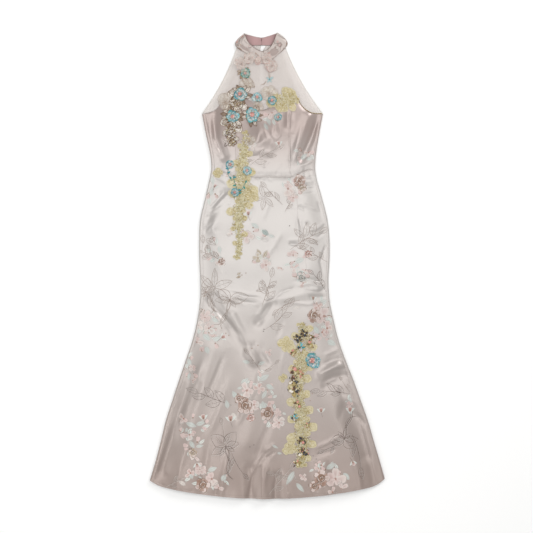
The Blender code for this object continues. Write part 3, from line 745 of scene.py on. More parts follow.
@dataclass
class Form:
    """Shape of the laid dress: its outline, its seams and the height of its upper face."""

    creases: list[tuple] = field(default_factory=list)
    swells: list[tuple] = field(default_factory=list)
    cell: float = 1.5
    table: Array = field(default_factory=lambda: np.zeros((0, 0)))
    table_x: Array = field(default_factory=lambda: np.arange(-400.0, 401.0, 1.5))
    table_h: Array = field(default_factory=lambda: np.arange(-12.0, 1512.0, 1.5))

    def __post_init__(self) -> None:
        """Turns the creases into millimetres and draws the soft swells and seam puckers."""
        for rise, half, lean, path in CREASES:
            self.creases.append((rise, half, lean, [self.at(*point) for point in path]))
        draw = random.Random(11)
        for _ in range(9):
            angle = draw.uniform(0, math.pi)
            wave = draw.uniform(70, 190)
            turn = 2 * math.pi / wave
            phase = draw.uniform(0, FULL_TURN)
            self.swells.append((0.22 * wave / 100, turn * math.cos(angle), turn * math.sin(angle), phase))
        for start, end, gap in ((1075, 1235, 15), (700, 1020, 24), (430, 690, 30)):
            h = start
            while h < end:
                for side in (-1, 1):
                    x = float(self.princess(side, h))
                    slant = draw.uniform(-6, 6)
                    reach = draw.uniform(9, 20)
                    path = [(x + 2, h), (x + 2 + reach, h + slant)]
                    if draw.random() < 0.5:
                        path = [(x - 2, h), (x - 2 - reach, h + slant)]
                    self.creases.append((draw.uniform(-0.8, 0.8), 3.2, 0.0, path))
                h += gap * draw.uniform(0.7, 1.3)
        x = -170.0
        while x < 150:
            reach = draw.uniform(10, 26)
            slant = draw.uniform(-8, 8)
            h = float(self.waist(x))
            for way in (-1, 1):
                path = [(x, h + 2 * way), (x + slant, h + way * (2 + reach))]
                self.creases.append((draw.uniform(-0.9, 0.9), 3.6, 0.0, path))
            x += draw.uniform(10, 19)
        x = -360.0
        while x < 360:
            h = float(self.hem(x))
            reach = draw.uniform(12, 34)
            self.creases.append((draw.uniform(-0.8, 0.8), 5.0, 0.0, [(x, h), (x * 0.99, h + reach)]))
            x += draw.uniform(16, 34)
        across, up = np.meshgrid(self.table_x, self.table_h)
        self.table = self.height(across, up)

    @staticmethod
    def at(across: float, down: float) -> Array:
        """Millimetres on the dress of a place in the photograph's frame."""
        return np.array([(across - FRAME_X) * UNIT, (FRAME_H - down) * UNIT])

    @staticmethod
    def edge(side: int, h: Array) -> Array:
        """Outline of the laid dress.

        Args:
            side: -1 for the left and 1 for the right.
            h: Heights up the dress.

        Returns:
            The outline's x.
        """
        column = 1 if side < 0 else 2
        corner = [row[0] for row in OUTLINE].index(ARMHOLE_CORNER)
        below = curve(OUTLINE[: corner + 1], h, column)
        above = curve(OUTLINE[corner:], h, column)
        return np.where(np.asarray(h) <= ARMHOLE_CORNER, below, above)

    def side_seam(self, side: int, h: Array) -> Array:
        """Side seam on the upper face."""
        return self.edge(side, h) - side * straight(SIDE_SEAM_INSET, h, 1 if side < 0 else 2)

    @staticmethod
    def princess(side: int, h: Array) -> Array:
        """Seam between the front centre and a side front."""
        right = curve(PRINCESS, h)
        return right if side > 0 else 2 * straight(CENTRE_LINE, h) - right

    @staticmethod
    def hem(x: Array) -> Array:
        """Hem line: a shallow arc that turns up at both rolled sides."""
        x = np.asarray(x, float)
        turn = np.where(x > 0, 18, 11)
        past = np.maximum(np.abs(x) - np.where(x > 0, 330, 326), 0) / 51
        return x * x / 3036 + turn * past**2.2

    @staticmethod
    def waist(x: Array) -> Array:
        """Waist seam: level in the middle and higher at the sides."""
        return 1037 + 22 * ease((np.abs(np.asarray(x, float) + 12) - 84) / 70)

    @staticmethod
    def top_edge(x: Array) -> Array:
        """Upper edge of the satin front."""
        return curve(TOP_EDGE, x)

    @staticmethod
    def to_path(x: Array, h: Array, path: list[Point]) -> tuple[Array, Array, Array]:
        """Distance from a path, the side of it, and how far along it.

        Args:
            x: Places across.
            h: Places up.
            path: Corners of the path.

        Returns:
            Distance, side as -1 or 1, and share of the path's length.
        """
        points = np.asarray(path, float)
        lengths = np.hypot(*np.diff(points, axis=0).T)
        nearest = np.full(np.shape(x), 1e9)
        side = np.zeros(np.shape(x))
        share = np.zeros(np.shape(x))
        gone = 0.0
        for (ax, ah), (bx, bh), length in zip(points, points[1:], lengths):
            dx, dh = bx - ax, bh - ah
            t = np.clip(((x - ax) * dx + (h - ah) * dh) / length**2, 0, 1)
            off_x, off_h = x - ax - t * dx, h - ah - t * dh
            distance = np.hypot(off_x, off_h)
            near = distance < nearest
            nearest = np.where(near, distance, nearest)
            side = np.where(near, np.sign(dx * off_h - dh * off_x), side)
            share = np.where(near, (gone + t * length) / lengths.sum(), share)
            gone += length
        return nearest, side, share

    def height(self, x: Array, h: Array) -> Array:
        """Height of the front's outer face.

        Args:
            x: Places across.
            h: Places up.

        Returns:
            Height over the surface that the dress lies on.
        """
        x = np.asarray(x, float)
        h = np.asarray(h, float)
        inside = np.minimum(x - self.edge(-1, h), self.edge(1, h) - x) - ROLL
        z = straight(LOFT, h, 1) + straight(LOFT, h, 2) * ease(inside / straight(LOFT, h, 3))
        relief = np.zeros(x.shape)
        for cup_x, cup_h, half_x, half_h, rise in CUPS:
            relief += rise * np.exp(-(((x - cup_x) / half_x) ** 2) - ((h - cup_h) / half_h) ** 2)
        for rise, half, path in FOLDS:
            distance, _, _ = self.to_path(x, h, path)
            relief += rise * np.exp(-((distance / half) ** 2))
        fine = np.zeros(x.shape)
        for rise, half, lean, path in self.creases:
            low = np.min(path, axis=0) - 4 * half
            high = np.max(path, axis=0) + 4 * half
            near = (x > low[0]) & (x < high[0]) & (h > low[1]) & (h < high[1])
            if not near.any():
                continue
            distance, side, share = self.to_path(x[near], h[near], path)
            wide = half * (1 + lean * side)
            fade = ease(share / 0.3) * ease((1 - share) / 0.3)
            fine[near] += rise * fade * np.exp(-((distance / wide) ** 2))
        satin = ease((1300 - h) / 40)
        for rise, turn_x, turn_h, phase in self.swells:
            fine += rise * satin * np.sin(x * turn_x + h * turn_h + phase)
        return np.maximum(z + relief * ease(inside / 32) + fine * ease(inside / 16), 1.2)

    def inside(self, points: Array, margin: float) -> Array:
        """Which points are on the satin front.

        Args:
            points: Rows of x and h.
            margin: Least distance from its edges.

        Returns:
            One truth value a point.
        """
        x, h = points[:, 0], points[:, 1]
        across = (x > self.edge(-1, h) + margin) & (x < self.edge(1, h) - margin)
        return across & (h > self.hem(x) + margin) & (h < self.top_edge(x) - margin)

    def near_height(self, x: Array, h: Array) -> Array:
        """Height of the front's outer face, read between the points of a fine table.

        Args:
            x: Places across.
            h: Places up.

        Returns:
            Height over the surface that the dress lies on.
        """
        across = np.clip((np.asarray(x, float) - self.table_x[0]) / self.cell, 0, len(self.table_x) - 1.01)
        up = np.clip((np.asarray(h, float) - self.table_h[0]) / self.cell, 0, len(self.table_h) - 1.01)
        return between(self.table, across, up)

    def on(self, points: Array, lift: Array | float) -> Array:
        """Points at a distance over the front, from rows of x and h."""
        points = np.asarray(points, float)
        return np.column_stack([points, self.near_height(points[:, 0], points[:, 1]) + lift])

    def spot(self, place: Array, lift: float) -> Array:
        """One point on the front, from x and h."""
        return self.on(np.asarray(place, float)[None, :], lift)[0]


class Leaf(NamedTuple):
    """Both sides and the middle vein of a leaf, each rows of x and h from its foot to its tip."""

    left: Array
    right: Array
    vein: Array

    @classmethod
    def grown(
        cls, root: Array, angle: float, length: float, width: float, bend: float, count: int = 9
    ) -> "Leaf":
        """Makes a leaf.

        Args:
            root: x and h of its foot.
            angle: Direction, in radians.
            length: Length.
            width: Greatest width.
            bend: How far its tip turns, in radians.
            count: Points on a side.

        Returns:
            The leaf.
        """
        root = np.asarray(root, float)
        share = np.linspace(0, 1, count)
        turn = angle + bend * share
        step = length / (count - 1)
        vein = np.vstack([root, root + np.cumsum(step * heading(turn), axis=0)[:-1]])
        half = 0.5 * width * np.sin(math.pi * share**0.85) ** 0.9
        aside = np.column_stack([-np.sin(turn), np.cos(turn)])
        return cls(vein + aside * half[:, None], vein - aside * half[:, None], vein)

    def loop(self) -> Array:
        """The outline, up the left side and down the right one."""
        return np.vstack([self.left, self.right[-2::-1]])

    def laid(self, form: Form, rim: float, vein: float) -> Array:
        """Points of the leaf over the cloth, its rim and its vein each at a height of its own."""
        return np.stack([form.on(self.right, rim), form.on(self.vein, vein), form.on(self.left, rim)])


class Cut:
    """Gathers points and faces of one piece, each point with a tint, and makes its mesh."""

    def __init__(self, *finishes: Finish) -> None:
        """Starts empty.

        Args:
            finishes: The piece's finishes, in the order of its material slots.
        """
        self.finishes = finishes
        self.points: list[Array] = []
        self.tints: list[Array] = []
        self.faces: list[tuple] = []
        self.slots: list[int] = []
        self.count = 0

    def add(self, points: Array, faces: list[tuple], tint: object, slot: int = 0) -> None:
        """Adds points and faces.

        Args:
            points: Rows of x, h and z.
            faces: Corners, counted from the first of these points.
            tint: One colour, or one a point.
            slot: Material slot.
        """
        points = np.asarray(points, float).reshape(-1, 3)
        tints = np.ones((len(points), 4))
        tints[:, :3] = np.asarray(tint, float)
        self.points.append(points)
        self.tints.append(tints)
        start = self.count
        self.faces.extend(tuple(start + corner for corner in face) for face in faces)
        self.slots.extend([slot] * len(faces))
        self.count += len(points)

    def grid(self, points: Array, tint: object = (1, 1, 1), slot: int = 0, flip: bool = False) -> None:
        """Adds a grid of quads.

        Args:
            points: Rows by columns by x, h and z.
            tint: One colour, or one a point.
            slot: Material slot.
            flip: Turns the faces over.
        """
        rows, columns = points.shape[:2]
        base = (np.arange(rows - 1)[:, None] * columns + np.arange(columns - 1)[None, :]).ravel()
        faces = np.column_stack([base, base + 1, base + columns + 1, base + columns])
        if flip:
            faces = faces[:, ::-1]
        if not np.isscalar(tint) and np.ndim(tint) == 3:
            tint = np.asarray(tint).reshape(-1, 3)
        self.add(points.reshape(-1, 3), [tuple(face) for face in faces.tolist()], tint, slot)

    def tube(self, path: Array, radius: Array | float, tint: object, slot: int = 0, sides: int = 5) -> None:
        """Adds a cord along a path, with closed ends.

        Args:
            path: Rows of x, h and z.
            radius: One radius, or one a point.
            tint: Colour.
            slot: Material slot.
            sides: Sides of its section.
        """
        path = np.asarray(path, float)
        ahead = np.gradient(path, axis=0)
        ahead /= np.maximum(np.linalg.norm(ahead, axis=1, keepdims=True), TINY)
        across = np.cross(ahead, (0.0, 0.0, 1.0))
        across /= np.maximum(np.linalg.norm(across, axis=1, keepdims=True), TINY)
        up = np.cross(across, ahead)
        angles = (2 * math.pi * np.arange(sides) / sides)[None, :, None]
        radius = np.broadcast_to(np.asarray(radius, float), (len(path),))[:, None, None]
        ring = across[:, None, :] * np.cos(angles) + up[:, None, :] * np.sin(angles)
        points = path[:, None, :] + radius * ring
        faces = bands(0, sides, len(path) - 1)
        last = (len(path) - 1) * sides
        faces.append(tuple(range(sides)))
        faces.append(tuple(last + i for i in range(sides))[::-1])
        self.add(points, faces, tint, slot)

    def ribbon_through(self, path: Array, width: float, tint: object) -> None:
        """Adds a flat ribbon along a path of x, h and z."""
        aside = np.column_stack([sideways(path[:, :2]), np.zeros(len(path))]) * width / 2
        self.grid(np.stack([path - aside, path + aside]), tint, flip=True)

    def ball(self, centre: Array, radius: float, tint: object, slot: int = 0, squash: float = 1.0) -> None:
        """Adds a bead.

        Args:
            centre: x, h and z.
            radius: Radius.
            tint: Colour.
            slot: Material slot.
            squash: Its height as a share of its width.
        """
        around, rings = 8, 5
        points = [(0.0, 0.0, squash)]
        for j in range(1, rings):
            angle = math.pi * j / rings
            for i in range(around):
                turn = 2 * math.pi * i / around
                flat = math.sin(angle)
                points.append((flat * math.cos(turn), flat * math.sin(turn), squash * math.cos(angle)))
        points.append((0.0, 0.0, -squash))
        faces = []
        for i in range(around):
            after = (i + 1) % around
            faces.append((0, 1 + i, 1 + after))
            for j in range(rings - 2):
                a = 1 + j * around
                faces.append((a + i, a + around + i, a + around + after, a + after))
            tail = 1 + (rings - 2) * around
            faces.append((tail + i, len(points) - 1, tail + after))
        self.add(np.asarray(centre) + radius * np.asarray(points), faces, tint, slot)

    def sequin(self, centre: Array, radius: float, lean: Point, tint: object, slot: int = 0) -> None:
        """Adds a small cupped disc.

        Args:
            centre: x, h and z.
            radius: Radius.
            lean: Slope of the disc along x and h.
            tint: Colour.
            slot: Material slot.
        """
        around = 7
        points = [(0.0, 0.0, -0.15 * radius), (0.0, 0.0, -0.15 * radius - 0.12)]
        for drop in (0.1 * radius, 0.1 * radius - 0.12):
            for i in range(around):
                turn = 2 * math.pi * i / around
                x, h = radius * math.cos(turn), radius * math.sin(turn)
                points.append((x, h, drop + lean[0] * x + lean[1] * h))
        faces = []
        for i in range(around):
            after = (i + 1) % around
            faces.append((0, 2 + i, 2 + after))
            faces.append((1, 2 + around + after, 2 + around + i))
            faces.append((2 + i, 2 + around + i, 2 + around + after, 2 + after))
        self.add(np.asarray(centre) + np.asarray(points), faces, tint, slot)

    def piece(self, name: str, stands_for: tuple = (), wall: float = 0.0) -> bpy.types.Object:
        """Makes the mesh and adds it to the dress.

        Args:
            name: The piece's name.
            stands_for: CAD nodes that it replaces.
            wall: Cloth thickness, in millimetres, under the points, or over them where it is less than 0.

        Returns:
            The piece.
        """
        points = np.concatenate(self.points)
        places = np.column_stack([points[:, 0] - MIDDLE_X, points[:, 1] - MIDDLE_H, points[:, 2]]) * MM
        mesh = bpy.data.meshes.new(name)
        mesh.from_pydata(places.tolist(), [], self.faces)
        mesh.polygons.foreach_set("material_index", self.slots)
        mesh.update()
        mesh.shade_smooth()
        tint = mesh.attributes.new("tint", "FLOAT_COLOR", "POINT")
        tint.data.foreach_set("color", np.concatenate(self.tints).astype(np.float32).ravel())
        for finish in self.finishes:
            mesh.materials.append(finish.material())
        made = bpy.data.objects.new(name, mesh)
        bpy.context.scene.collection.objects.link(made)
        if wall:
            self.sharpen_rim(mesh)
            shell = made.modifiers.new("Wall", "SOLIDIFY")
            shell.thickness = abs(wall) * MM
            shell.offset = -1.0 if wall > 0 else 1.0
        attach(made, "root")
        if stands_for:
            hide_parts(*stands_for)
        log.info("%s: %d faces", name, len(self.faces))
        return made

    @staticmethod
    def sharpen_rim(mesh: bpy.types.Mesh) -> None:
        """Marks the free edges of a cloth, so that its face shades evenly up to them."""
        used = np.zeros(len(mesh.loops), np.int32)
        mesh.loops.foreach_get("edge_index", used)
        free = np.bincount(used, minlength=len(mesh.edges)) == 1
        marks = mesh.attributes.get("sharp_edge") or mesh.attributes.new("sharp_edge", "BOOLEAN", "EDGE")
        marks.data.foreach_set("value", free)


def edge_marks(length: float, step: float) -> Array:
    """Shares across a panel, closer together along both seams.

    Args:
        length: The panel's usual width.
        step: Distance between points away from the seams.

    Returns:
        Shares from 0 to 1.
    """
    if length < 14:
        return np.linspace(0, 1, 5)
    near = np.array([0.0, 1.0, 2.2, 4.0])
    count = max(int(round((length - 8) / step)), 2)
    inner = np.linspace(4.0, length - 4.0, count + 1)
    return np.r_[near[:-1], inner, length - near[:-1][::-1]] / length


@dataclass
class Panel:
    """One cut piece of satin: its node, its flat cut, its area and its side."""

    node: str
    flat: Point
    area: float
    side: int


@dataclass
class SatinShell:
    """The satin front and back, each panel a thin shell on its solid's form."""

    form: Form
    step: float = 3.2
    back_step: float = 8.0
    wall: float = 0.7
    seam_gap: float = 0.02
    seam_half: float = 1.6
    skirt: tuple[Panel, ...] = (
        Panel("skirt_front_left", (0.27, 1.1), 0.124, -1),
        Panel("skirt_front_center", (0.36, 1.08), 0.276, 0),
        Panel("skirt_front_right", (0.26, 1.1), 0.121, 1),
    )
    bodice: tuple[Panel, ...] = (
        Panel("bodice_front_left", (0.12, 0.24), 0.02, -1),
        Panel("bodice_front_center", (0.22, 0.28), 0.044, 0),
        Panel("bodice_front_right", (0.12, 0.24), 0.02, 1),
    )
    backs: tuple[Panel, ...] = (
        Panel("skirt_back_left", (0.42, 1.07), 0.283, -1),
        Panel("skirt_back_right", (0.42, 1.07), 0.283, 1),
        Panel("bodice_back_left", (0.23, 0.21), 0.038, -1),
        Panel("bodice_back_right", (0.2, 0.21), 0.037, 1),
    )

    def low_waist(self, x: Array) -> Array:
        """Skirt's upper edge at the waist seam."""
        return self.form.waist(x) - self.seam_gap

    def high_waist(self, x: Array) -> Array:
        """Bodice's lower edge at the waist seam."""
        return self.form.waist(x) + self.seam_gap

    @staticmethod
    def back_top(x: Array) -> Array:
        """Upper edge of the satin back."""
        return np.full(np.shape(x), BACK_TOP)

    @staticmethod
    def station(line: Callable, share: Array, low: Callable, high: Callable) -> Array:
        """Where a lengthwise line is, at shares of the way between two crosswise curves.

        Args:
            line: Function from h to x.
            share: Shares of the way up.
            low: Lower curve, from x to h.
            high: Upper curve, from x to h.

        Returns:
            The line's x at each share.
        """
        x = np.zeros(share.shape)
        for _ in range(9):
            x = line(level(x, low, high, share))
        return x

    def front_grid(self, left: Callable, right: Callable, low: Callable, high: Callable) -> Array:
        """Points of a front panel.

        Args:
            left: Left seam, from h to x.
            right: Right seam, from h to x.
            low: Lower edge, from x to h.
            high: Upper edge, from x to h.

        Returns:
            Rows by columns by x, h and z.
        """
        tall = float(high(np.array(0.0)) - low(np.array(0.0)))
        share = edge_marks(tall, self.step)
        start = self.station(left, share, low, high)
        end = self.station(right, share, low, high)
        across = edge_marks(float(np.mean(end - start)), self.step)
        x = start[:, None] + (end - start)[:, None] * across[None, :]
        h = level(x, low, high, share[:, None])
        z = self.form.height(x, h)
        depth = 0.06 + 0.5 * ease((h - 1000) / 50)
        for gap in (x - start[:, None], end[:, None] - x, h - low(x), high(x) - h):
            z = z - depth * np.exp(-((gap / self.seam_half) ** 2))
        return np.stack([x, h, z], axis=-1)

    def seams(self, where: int) -> tuple:
        """The two lengthwise seams of a front panel.

        Args:
            where: -1, 0 or 1 for the left, centre or right panel.

        Returns:
            Left and right seam, each from h to x.
        """
        form, gap = self.form, self.seam_gap
        if where < 0:
            return lambda h: form.side_seam(-1, h), lambda h: form.princess(-1, h) - gap
        if where > 0:
            return lambda h: form.princess(1, h) + gap, lambda h: form.side_seam(1, h)
        return lambda h: form.princess(-1, h) + gap, lambda h: form.princess(1, h) - gap

    def back_grid(self, side: int, low: Callable, high: Callable) -> Array:
        """Points of a back panel, from the side seam, round the roll, and under.

        Args:
            side: -1 for the left and 1 for the right.
            low: Lower edge, from x to h.
            high: Upper edge, from x to h.

        Returns:
            Rows by columns by x, h and z.
        """
        form = self.form
        tall = float(high(np.array(0.0)) - low(np.array(0.0)))
        share = edge_marks(tall, self.back_step)
        seam = self.station(lambda h: form.side_seam(side, h) + side * self.seam_gap, share, low, high)
        edge = self.station(lambda h: form.edge(side, h), share, low, high)
        middle = self.station(lambda h: straight(CENTRE_LINE, h) + side * GAP / 2, share, low, high)
        turn = edge - side * ROLL
        columns = []
        for i in range(7):
            x = seam + (turn - seam) * i / 6
            h = level(x, low, high, share)
            z = form.height(x, h) - 0.3 * math.exp(-((i / 0.7) ** 2))
            columns.append(np.column_stack([x, h, z]))
        for i in range(1, 11):
            angle = math.pi / 2 - math.pi * i / 10
            x = turn + side * ROLL * math.cos(angle)
            h = level(x, low, high, share)
            columns.append(np.column_stack([x, h, np.full(x.shape, ROLL + ROLL * math.sin(angle))]))
        count = int(np.mean(np.abs(turn - middle)) / self.back_step)
        for i in range(1, count + 1):
            x = turn + (middle - turn) * i / count
            h = level(x, low, high, share)
            columns.append(np.column_stack([x, h, np.zeros(x.shape)]))
        return np.stack(columns, axis=1)

    def build(self) -> None:
        """Makes every satin panel."""
        form = self.form
        lines = ((self.skirt, form.hem, self.low_waist), (self.bodice, self.high_waist, form.top_edge))
        for panels, low, high in lines:
            for panel in panels:
                left, right = self.seams(panel.side)
                cut = Cut(Finish.SATIN)
                cut.grid(self.front_grid(left, right, low, high))
                self.dress(cut, panel)
        for panel in self.backs:
            skirt = panel.node.startswith("skirt")
            low = form.hem if skirt else self.high_waist
            high = self.low_waist if skirt else self.back_top
            cut = Cut(Finish.SATIN)
            cut.grid(self.back_grid(panel.side, low, high), flip=panel.side < 0)
            self.dress(cut, panel)

    def dress(self, cut: Cut, panel: Panel) -> None:
        """Makes a panel's piece from its mesh."""
        made = cut.piece(panel.node + "_satin", (panel.node,), self.wall)


@dataclass
class SheerYoke:
    """The net yoke, front and back, with its bound armholes."""

    form: Form
    step: float = 4.0
    wall: float = 0.4
    front_flat: Point = (0.4, 0.24)
    front_area: float = 0.051
    back_flat: Point = (0.19, 0.23)
    back_area: float = 0.0235
    binding: float = 0.9
    left: float = -207.5
    right: float = 178.0
    bowed: float = 10.0
    back_height: float = 1461.4

    def front_points(self) -> Array:
        """Points of the front net, from the satin's edge to the collar.

        Returns:
            Rows by columns by x, h and z.
        """
        form = self.form
        x = np.linspace(self.left, self.right, 100)
        base = np.column_stack([x, form.top_edge(x) + YOKE_GAP])
        first, last = COLLAR_FRONT
        neck = np.array([(row[4], row[5] - NECK_GAP) for row in COLLAR_STATIONS[first : last + 1]])
        across = (x - x[0]) / (x[-1] - x[0])
        neck_x = neck[0, 0] + (neck[-1, 0] - neck[0, 0]) * across
        order = np.argsort(neck[:, 0])
        neck_h = np.interp(neck_x, neck[order, 0], neck[order, 1])
        share = np.linspace(0, 1, 60)[:, None]
        bow = -self.bowed * 4 * share * (1 - share) * (2 * across[None, :] - 1)
        at_x = base[None, :, 0] + (neck_x - base[:, 0])[None, :] * share + bow
        at_h = base[None, :, 1] + (neck_h - base[:, 1])[None, :] * share
        return np.stack([at_x, at_h, form.height(at_x, at_h)], axis=-1)

    def back_points(self, side: int) -> Array:
        """Points of one back half, flat on the surface.

        Args:
            side: -1 for the left and 1 for the right.

        Returns:
            Rows by columns by x, h and z.
        """
        form = self.form
        share = np.linspace(0, 1, 50)

        def low(x: Array) -> Array:
            """Lower edge."""
            return np.full(np.shape(x), BACK_TOP + GAP)

        def high(x: Array) -> Array:
            """Upper edge."""
            return self.back_height - 5.4 * (np.abs(np.asarray(x) + 18) / 78) ** 2

        def outer(h: Array) -> Array:
            """Armhole edge."""
            return form.edge(side, h) - side * straight(BACK_YOKE_INSET, h)

        def inner(h: Array) -> Array:
            """Edge at the back slit."""
            return straight(BACK_SLIT, h, 1 if side < 0 else 2)

        start = SatinShell.station(outer, share, low, high)
        end = SatinShell.station(inner, share, low, high)
        across = np.linspace(0, 1, 30)
        x = start[:, None] + (end - start)[:, None] * across[None, :]
        h = level(x, low, high, share[:, None])
        return np.stack([x, h, np.zeros(x.shape)], axis=-1)

    def build(self) -> None:
        """Makes the net and its bindings."""
        front = self.front_points()
        cut = Cut(Finish.SHEER)
        cut.grid(front)
        made = cut.piece("yoke_front_net", ("yoke_front",), self.wall)
        cut = Cut(Finish.THREAD)
        for column in (0, -1):
            path = smooth_path(front[:, column], 6.0)
            cut.tube(path - (0, 0, 0.5), self.binding, rgb(206, 202, 194), sides=6)
        cut.tube(smooth_path(front[-1] - (0, 0, 0.4), 5.0), 0.7, rgb(196, 186, 180))
        cut.piece("armhole_binding")
        for name, side in (("left", -1), ("right", 1)):
            points = self.back_points(side)
            cut = Cut(Finish.SHEER)
            cut.grid(points + (0, 0, 0.05), flip=side > 0)
            made = cut.piece(f"yoke_back_{name}_net", (f"yoke_back_{name}",), -self.wall)
            cut = Cut(Finish.THREAD)
            cut.tube(smooth_path(points[:, -1] + (0, 0, 0.5), 5.0), 0.6, rgb(206, 200, 196))
            cut.piece(f"back_slit_edge_{name}")


# Folds of the collar's face: place among the stations, rise and half width.
COLLAR_FOLDS = (
    (5.8, 0.9, 0.25), (6.5, -1, 0.2), (7.4, 1.1, 0.3), (8.6, -1.3, 0.25), (9.4, 1, 0.3), (10.2, -0.9, 0.2),
    (11.6, -0.8, 0.2), (12.6, 0.8, 0.25), (13.5, -0.9, 0.2), (14.4, 1.2, 0.35), (15.4, -1.2, 0.3),
    (16.2, 0.9, 0.25),
)

# Patches of painted shade, then the print's marks, on the collar: place among the stations, row of the face,
# and size or colour.
COLLAR_SHADE_PATCHES = ((12.9, 6, 3.4), (13.8, 4, 3.0), (14.6, 6, 2.6), (6.1, 3, 2.2), (8.2, 5, 2.2))
COLLAR_MARKS = (
    (5.6, 6, Ink.ROSE), (6.6, 8, Ink.CORAL), (7.3, 4, Ink.BROWN), (8.9, 7, Ink.PINK), (10.4, 5, Ink.BROWN),
    (12.4, 6, Ink.CORAL), (13.6, 4, Ink.UMBER), (15.2, 8, Ink.ROSE), (16.6, 5, Ink.BROWN),
    (17.3, 8, Ink.PINK),
)


@dataclass
class StandCollar:
    """The stand-up collar: printed satin with dark piping, and a mauve lining at the back."""

    form: Form
    wall: float = 1.2
    rows: int = 13
    finer: int = 6
    flat: Point = (0.4, 0.045)
    area: float = 0.0155
    lining_flat: Point = (0.085, 0.04)
    lining_area: float = 0.0026

    def stations(self) -> Array:
        """Collar stations on a smooth curve.

        Returns:
            Stations by the eight columns.
        """
        table = np.asarray(COLLAR_STATIONS, float)
        keyed = np.column_stack([np.arange(len(table)), table])
        at = np.linspace(0, len(table) - 1, (len(table) - 1) * self.finer + 1)
        return np.column_stack([curve(keyed, at, c + 1) for c in range(8)])

    def face(self) -> Array:
        """Points of the outer face, bottom edge first.

        Returns:
            Rows by columns by x, h and z.
        """
        st = self.stations()
        share = np.linspace(0, 1, self.rows)[:, None]
        low = st[:, [4, 5, 7]]
        middle = np.column_stack([st[:, 2], st[:, 3], (st[:, 6] + st[:, 7]) / 2])
        middle[:, 2] += 0.2 * np.minimum(st[:, 6], 1.0)
        high = st[:, [0, 1, 6]]
        a = 2 * (share - 0.5) * (share - 1)
        b = 4 * share * (1 - share)
        c = 2 * share * (share - 0.5)
        points = a[..., None] * low[None] + b[..., None] * middle[None] + c[..., None] * high[None]
        raised = ease(points[..., 2] / 9)
        along = np.arange(len(st))[None, :] / self.finer
        for place, rise, half in COLLAR_FOLDS:
            lean = 0.6 * (share - 0.5)
            points[..., 2] += 1.35 * rise * raised * np.exp(-(((along - place + lean) / half) ** 2))
        points[..., 2] = np.maximum(points[..., 2], 0.0)
        return points

    def build(self) -> None:
        """Makes the collar, its print, its piping, its dark lines and patches of painted shade, and its
        lining.
        """
        face = self.face()
        cut = Cut(Finish.PRINT)
        cut.grid(face, rgb(180, 169, 163))
        made = cut.piece("collar_satin", ("collar",), self.wall)
        cut = Cut(Finish.THREAD)
        for row, down in ((0, 0.2), (-1, 0.3)):
            cut.tube(smooth_path(face[row] - (0, 0, down - 0.5), 3.0), 0.75, Thread.PIPING, sides=6)
        for column in (3, 4, 18, 19):
            place = column * self.finer
            cut.tube(face[:, place] + (0, 0, 0.3), 0.5, Thread.PIPING)
        # A dark cord laid in the upper part of a fold of the collar's face: a painted shadow of that fold.
        middle = 11 * self.finer + 3
        cut.tube(face[7:, middle] + (0, 0, 0.35), 0.7, rgb(110, 88, 82))
        for end in (0, -1):
            cut.tube(face[:, end] + (0, 0, 1.6), 0.6, Thread.PIPING)
        # A dark cord where the collar's back ends meet: a painted shadow of the gap between them.
        gap_shadow = [(-18.0, 1482.5, 3.4), (-18.0, 1479, 3.9), (-18.0, 1475.5, 3.4)]
        cut.tube(gap_shadow, 0.9, rgb(96, 72, 70), sides=6)
        cut.piece("collar_piping_and_shadow_lines")
        self.printed(face)
        for name, side in (("left", -1), ("right", 1)):
            self.lining(name, side)

    def printed(self, face: Array) -> None:
        """Darker patches of painted shade, and small flowers and stems of the print, on the collar's face.

        Args:
            face: Points of the outer face.
        """
        cut = Cut(Finish.PRINT)
        draw = random.Random(5)
        # Darker mauve-grey patches of painted shade.
        for place, row, size in COLLAR_SHADE_PATCHES:
            self.dab(cut, face, place * self.finer, row, size, 0.5, rgb(146, 130, 124))
        for place, row, ink in COLLAR_MARKS:
            tone = blend(ink, rgb(180, 169, 163), 0.2)
            for _ in range(3):
                column = (place + draw.uniform(-0.4, 0.4)) * self.finer
                j = min(max(row + draw.uniform(-3, 3), 1), self.rows - 2)
                self.dab(cut, face, column, j, draw.uniform(0.5, 1.1), draw.uniform(0, 3), tone)
            for _ in range(4):
                column = (place + draw.uniform(-0.7, 0.7)) * self.finer
                j = row + draw.uniform(-4, 4)
                steps = np.linspace(0, 1, 7)
                columns = column + steps * draw.uniform(-5, 5)
                rows = np.clip(j + steps * draw.uniform(-5, 5), 1, self.rows - 2)
                cut.ribbon_through(self.reach(face, columns, rows) + (0, 0, 0.4), 0.9, Ink.LINE)
        cut.piece("collar_print_and_shade")

    @staticmethod
    def reach(face: Array, column: Array, row: Array) -> Array:
        """Points of the face at places between its own.

        Args:
            face: Points of the outer face.
            column: Places along it.
            row: Places up it.

        Returns:
            Rows of x, h and z.
        """
        column = np.clip(np.atleast_1d(column), 0, face.shape[1] - 1.001)
        row = np.clip(np.atleast_1d(row), 0, face.shape[0] - 1.001)
        return between(face, column, row)

    def dab(
        self, cut: Cut, face: Array, column: float, row: float, size: float, turn: float, tint: Colour
    ) -> None:
        """Adds one small petal-shaped dab, used for both the print and the painted shade.

        Args:
            cut: The print.
            face: Points of the outer face.
            column: Its place along the face.
            row: Its place up the face.
            size: Its size in columns.
            turn: Its turn.
            tint: Its colour.
        """
        around = np.linspace(0, 2 * math.pi, 9)[:-1] + turn
        outer = self.reach(face, column + size * 2.0 * np.cos(around), row + size * np.sin(around))
        points = np.vstack([self.reach(face, column, row), outer]) + (0, 0, 0.35)
        cut.add(points, disc(8), tint)

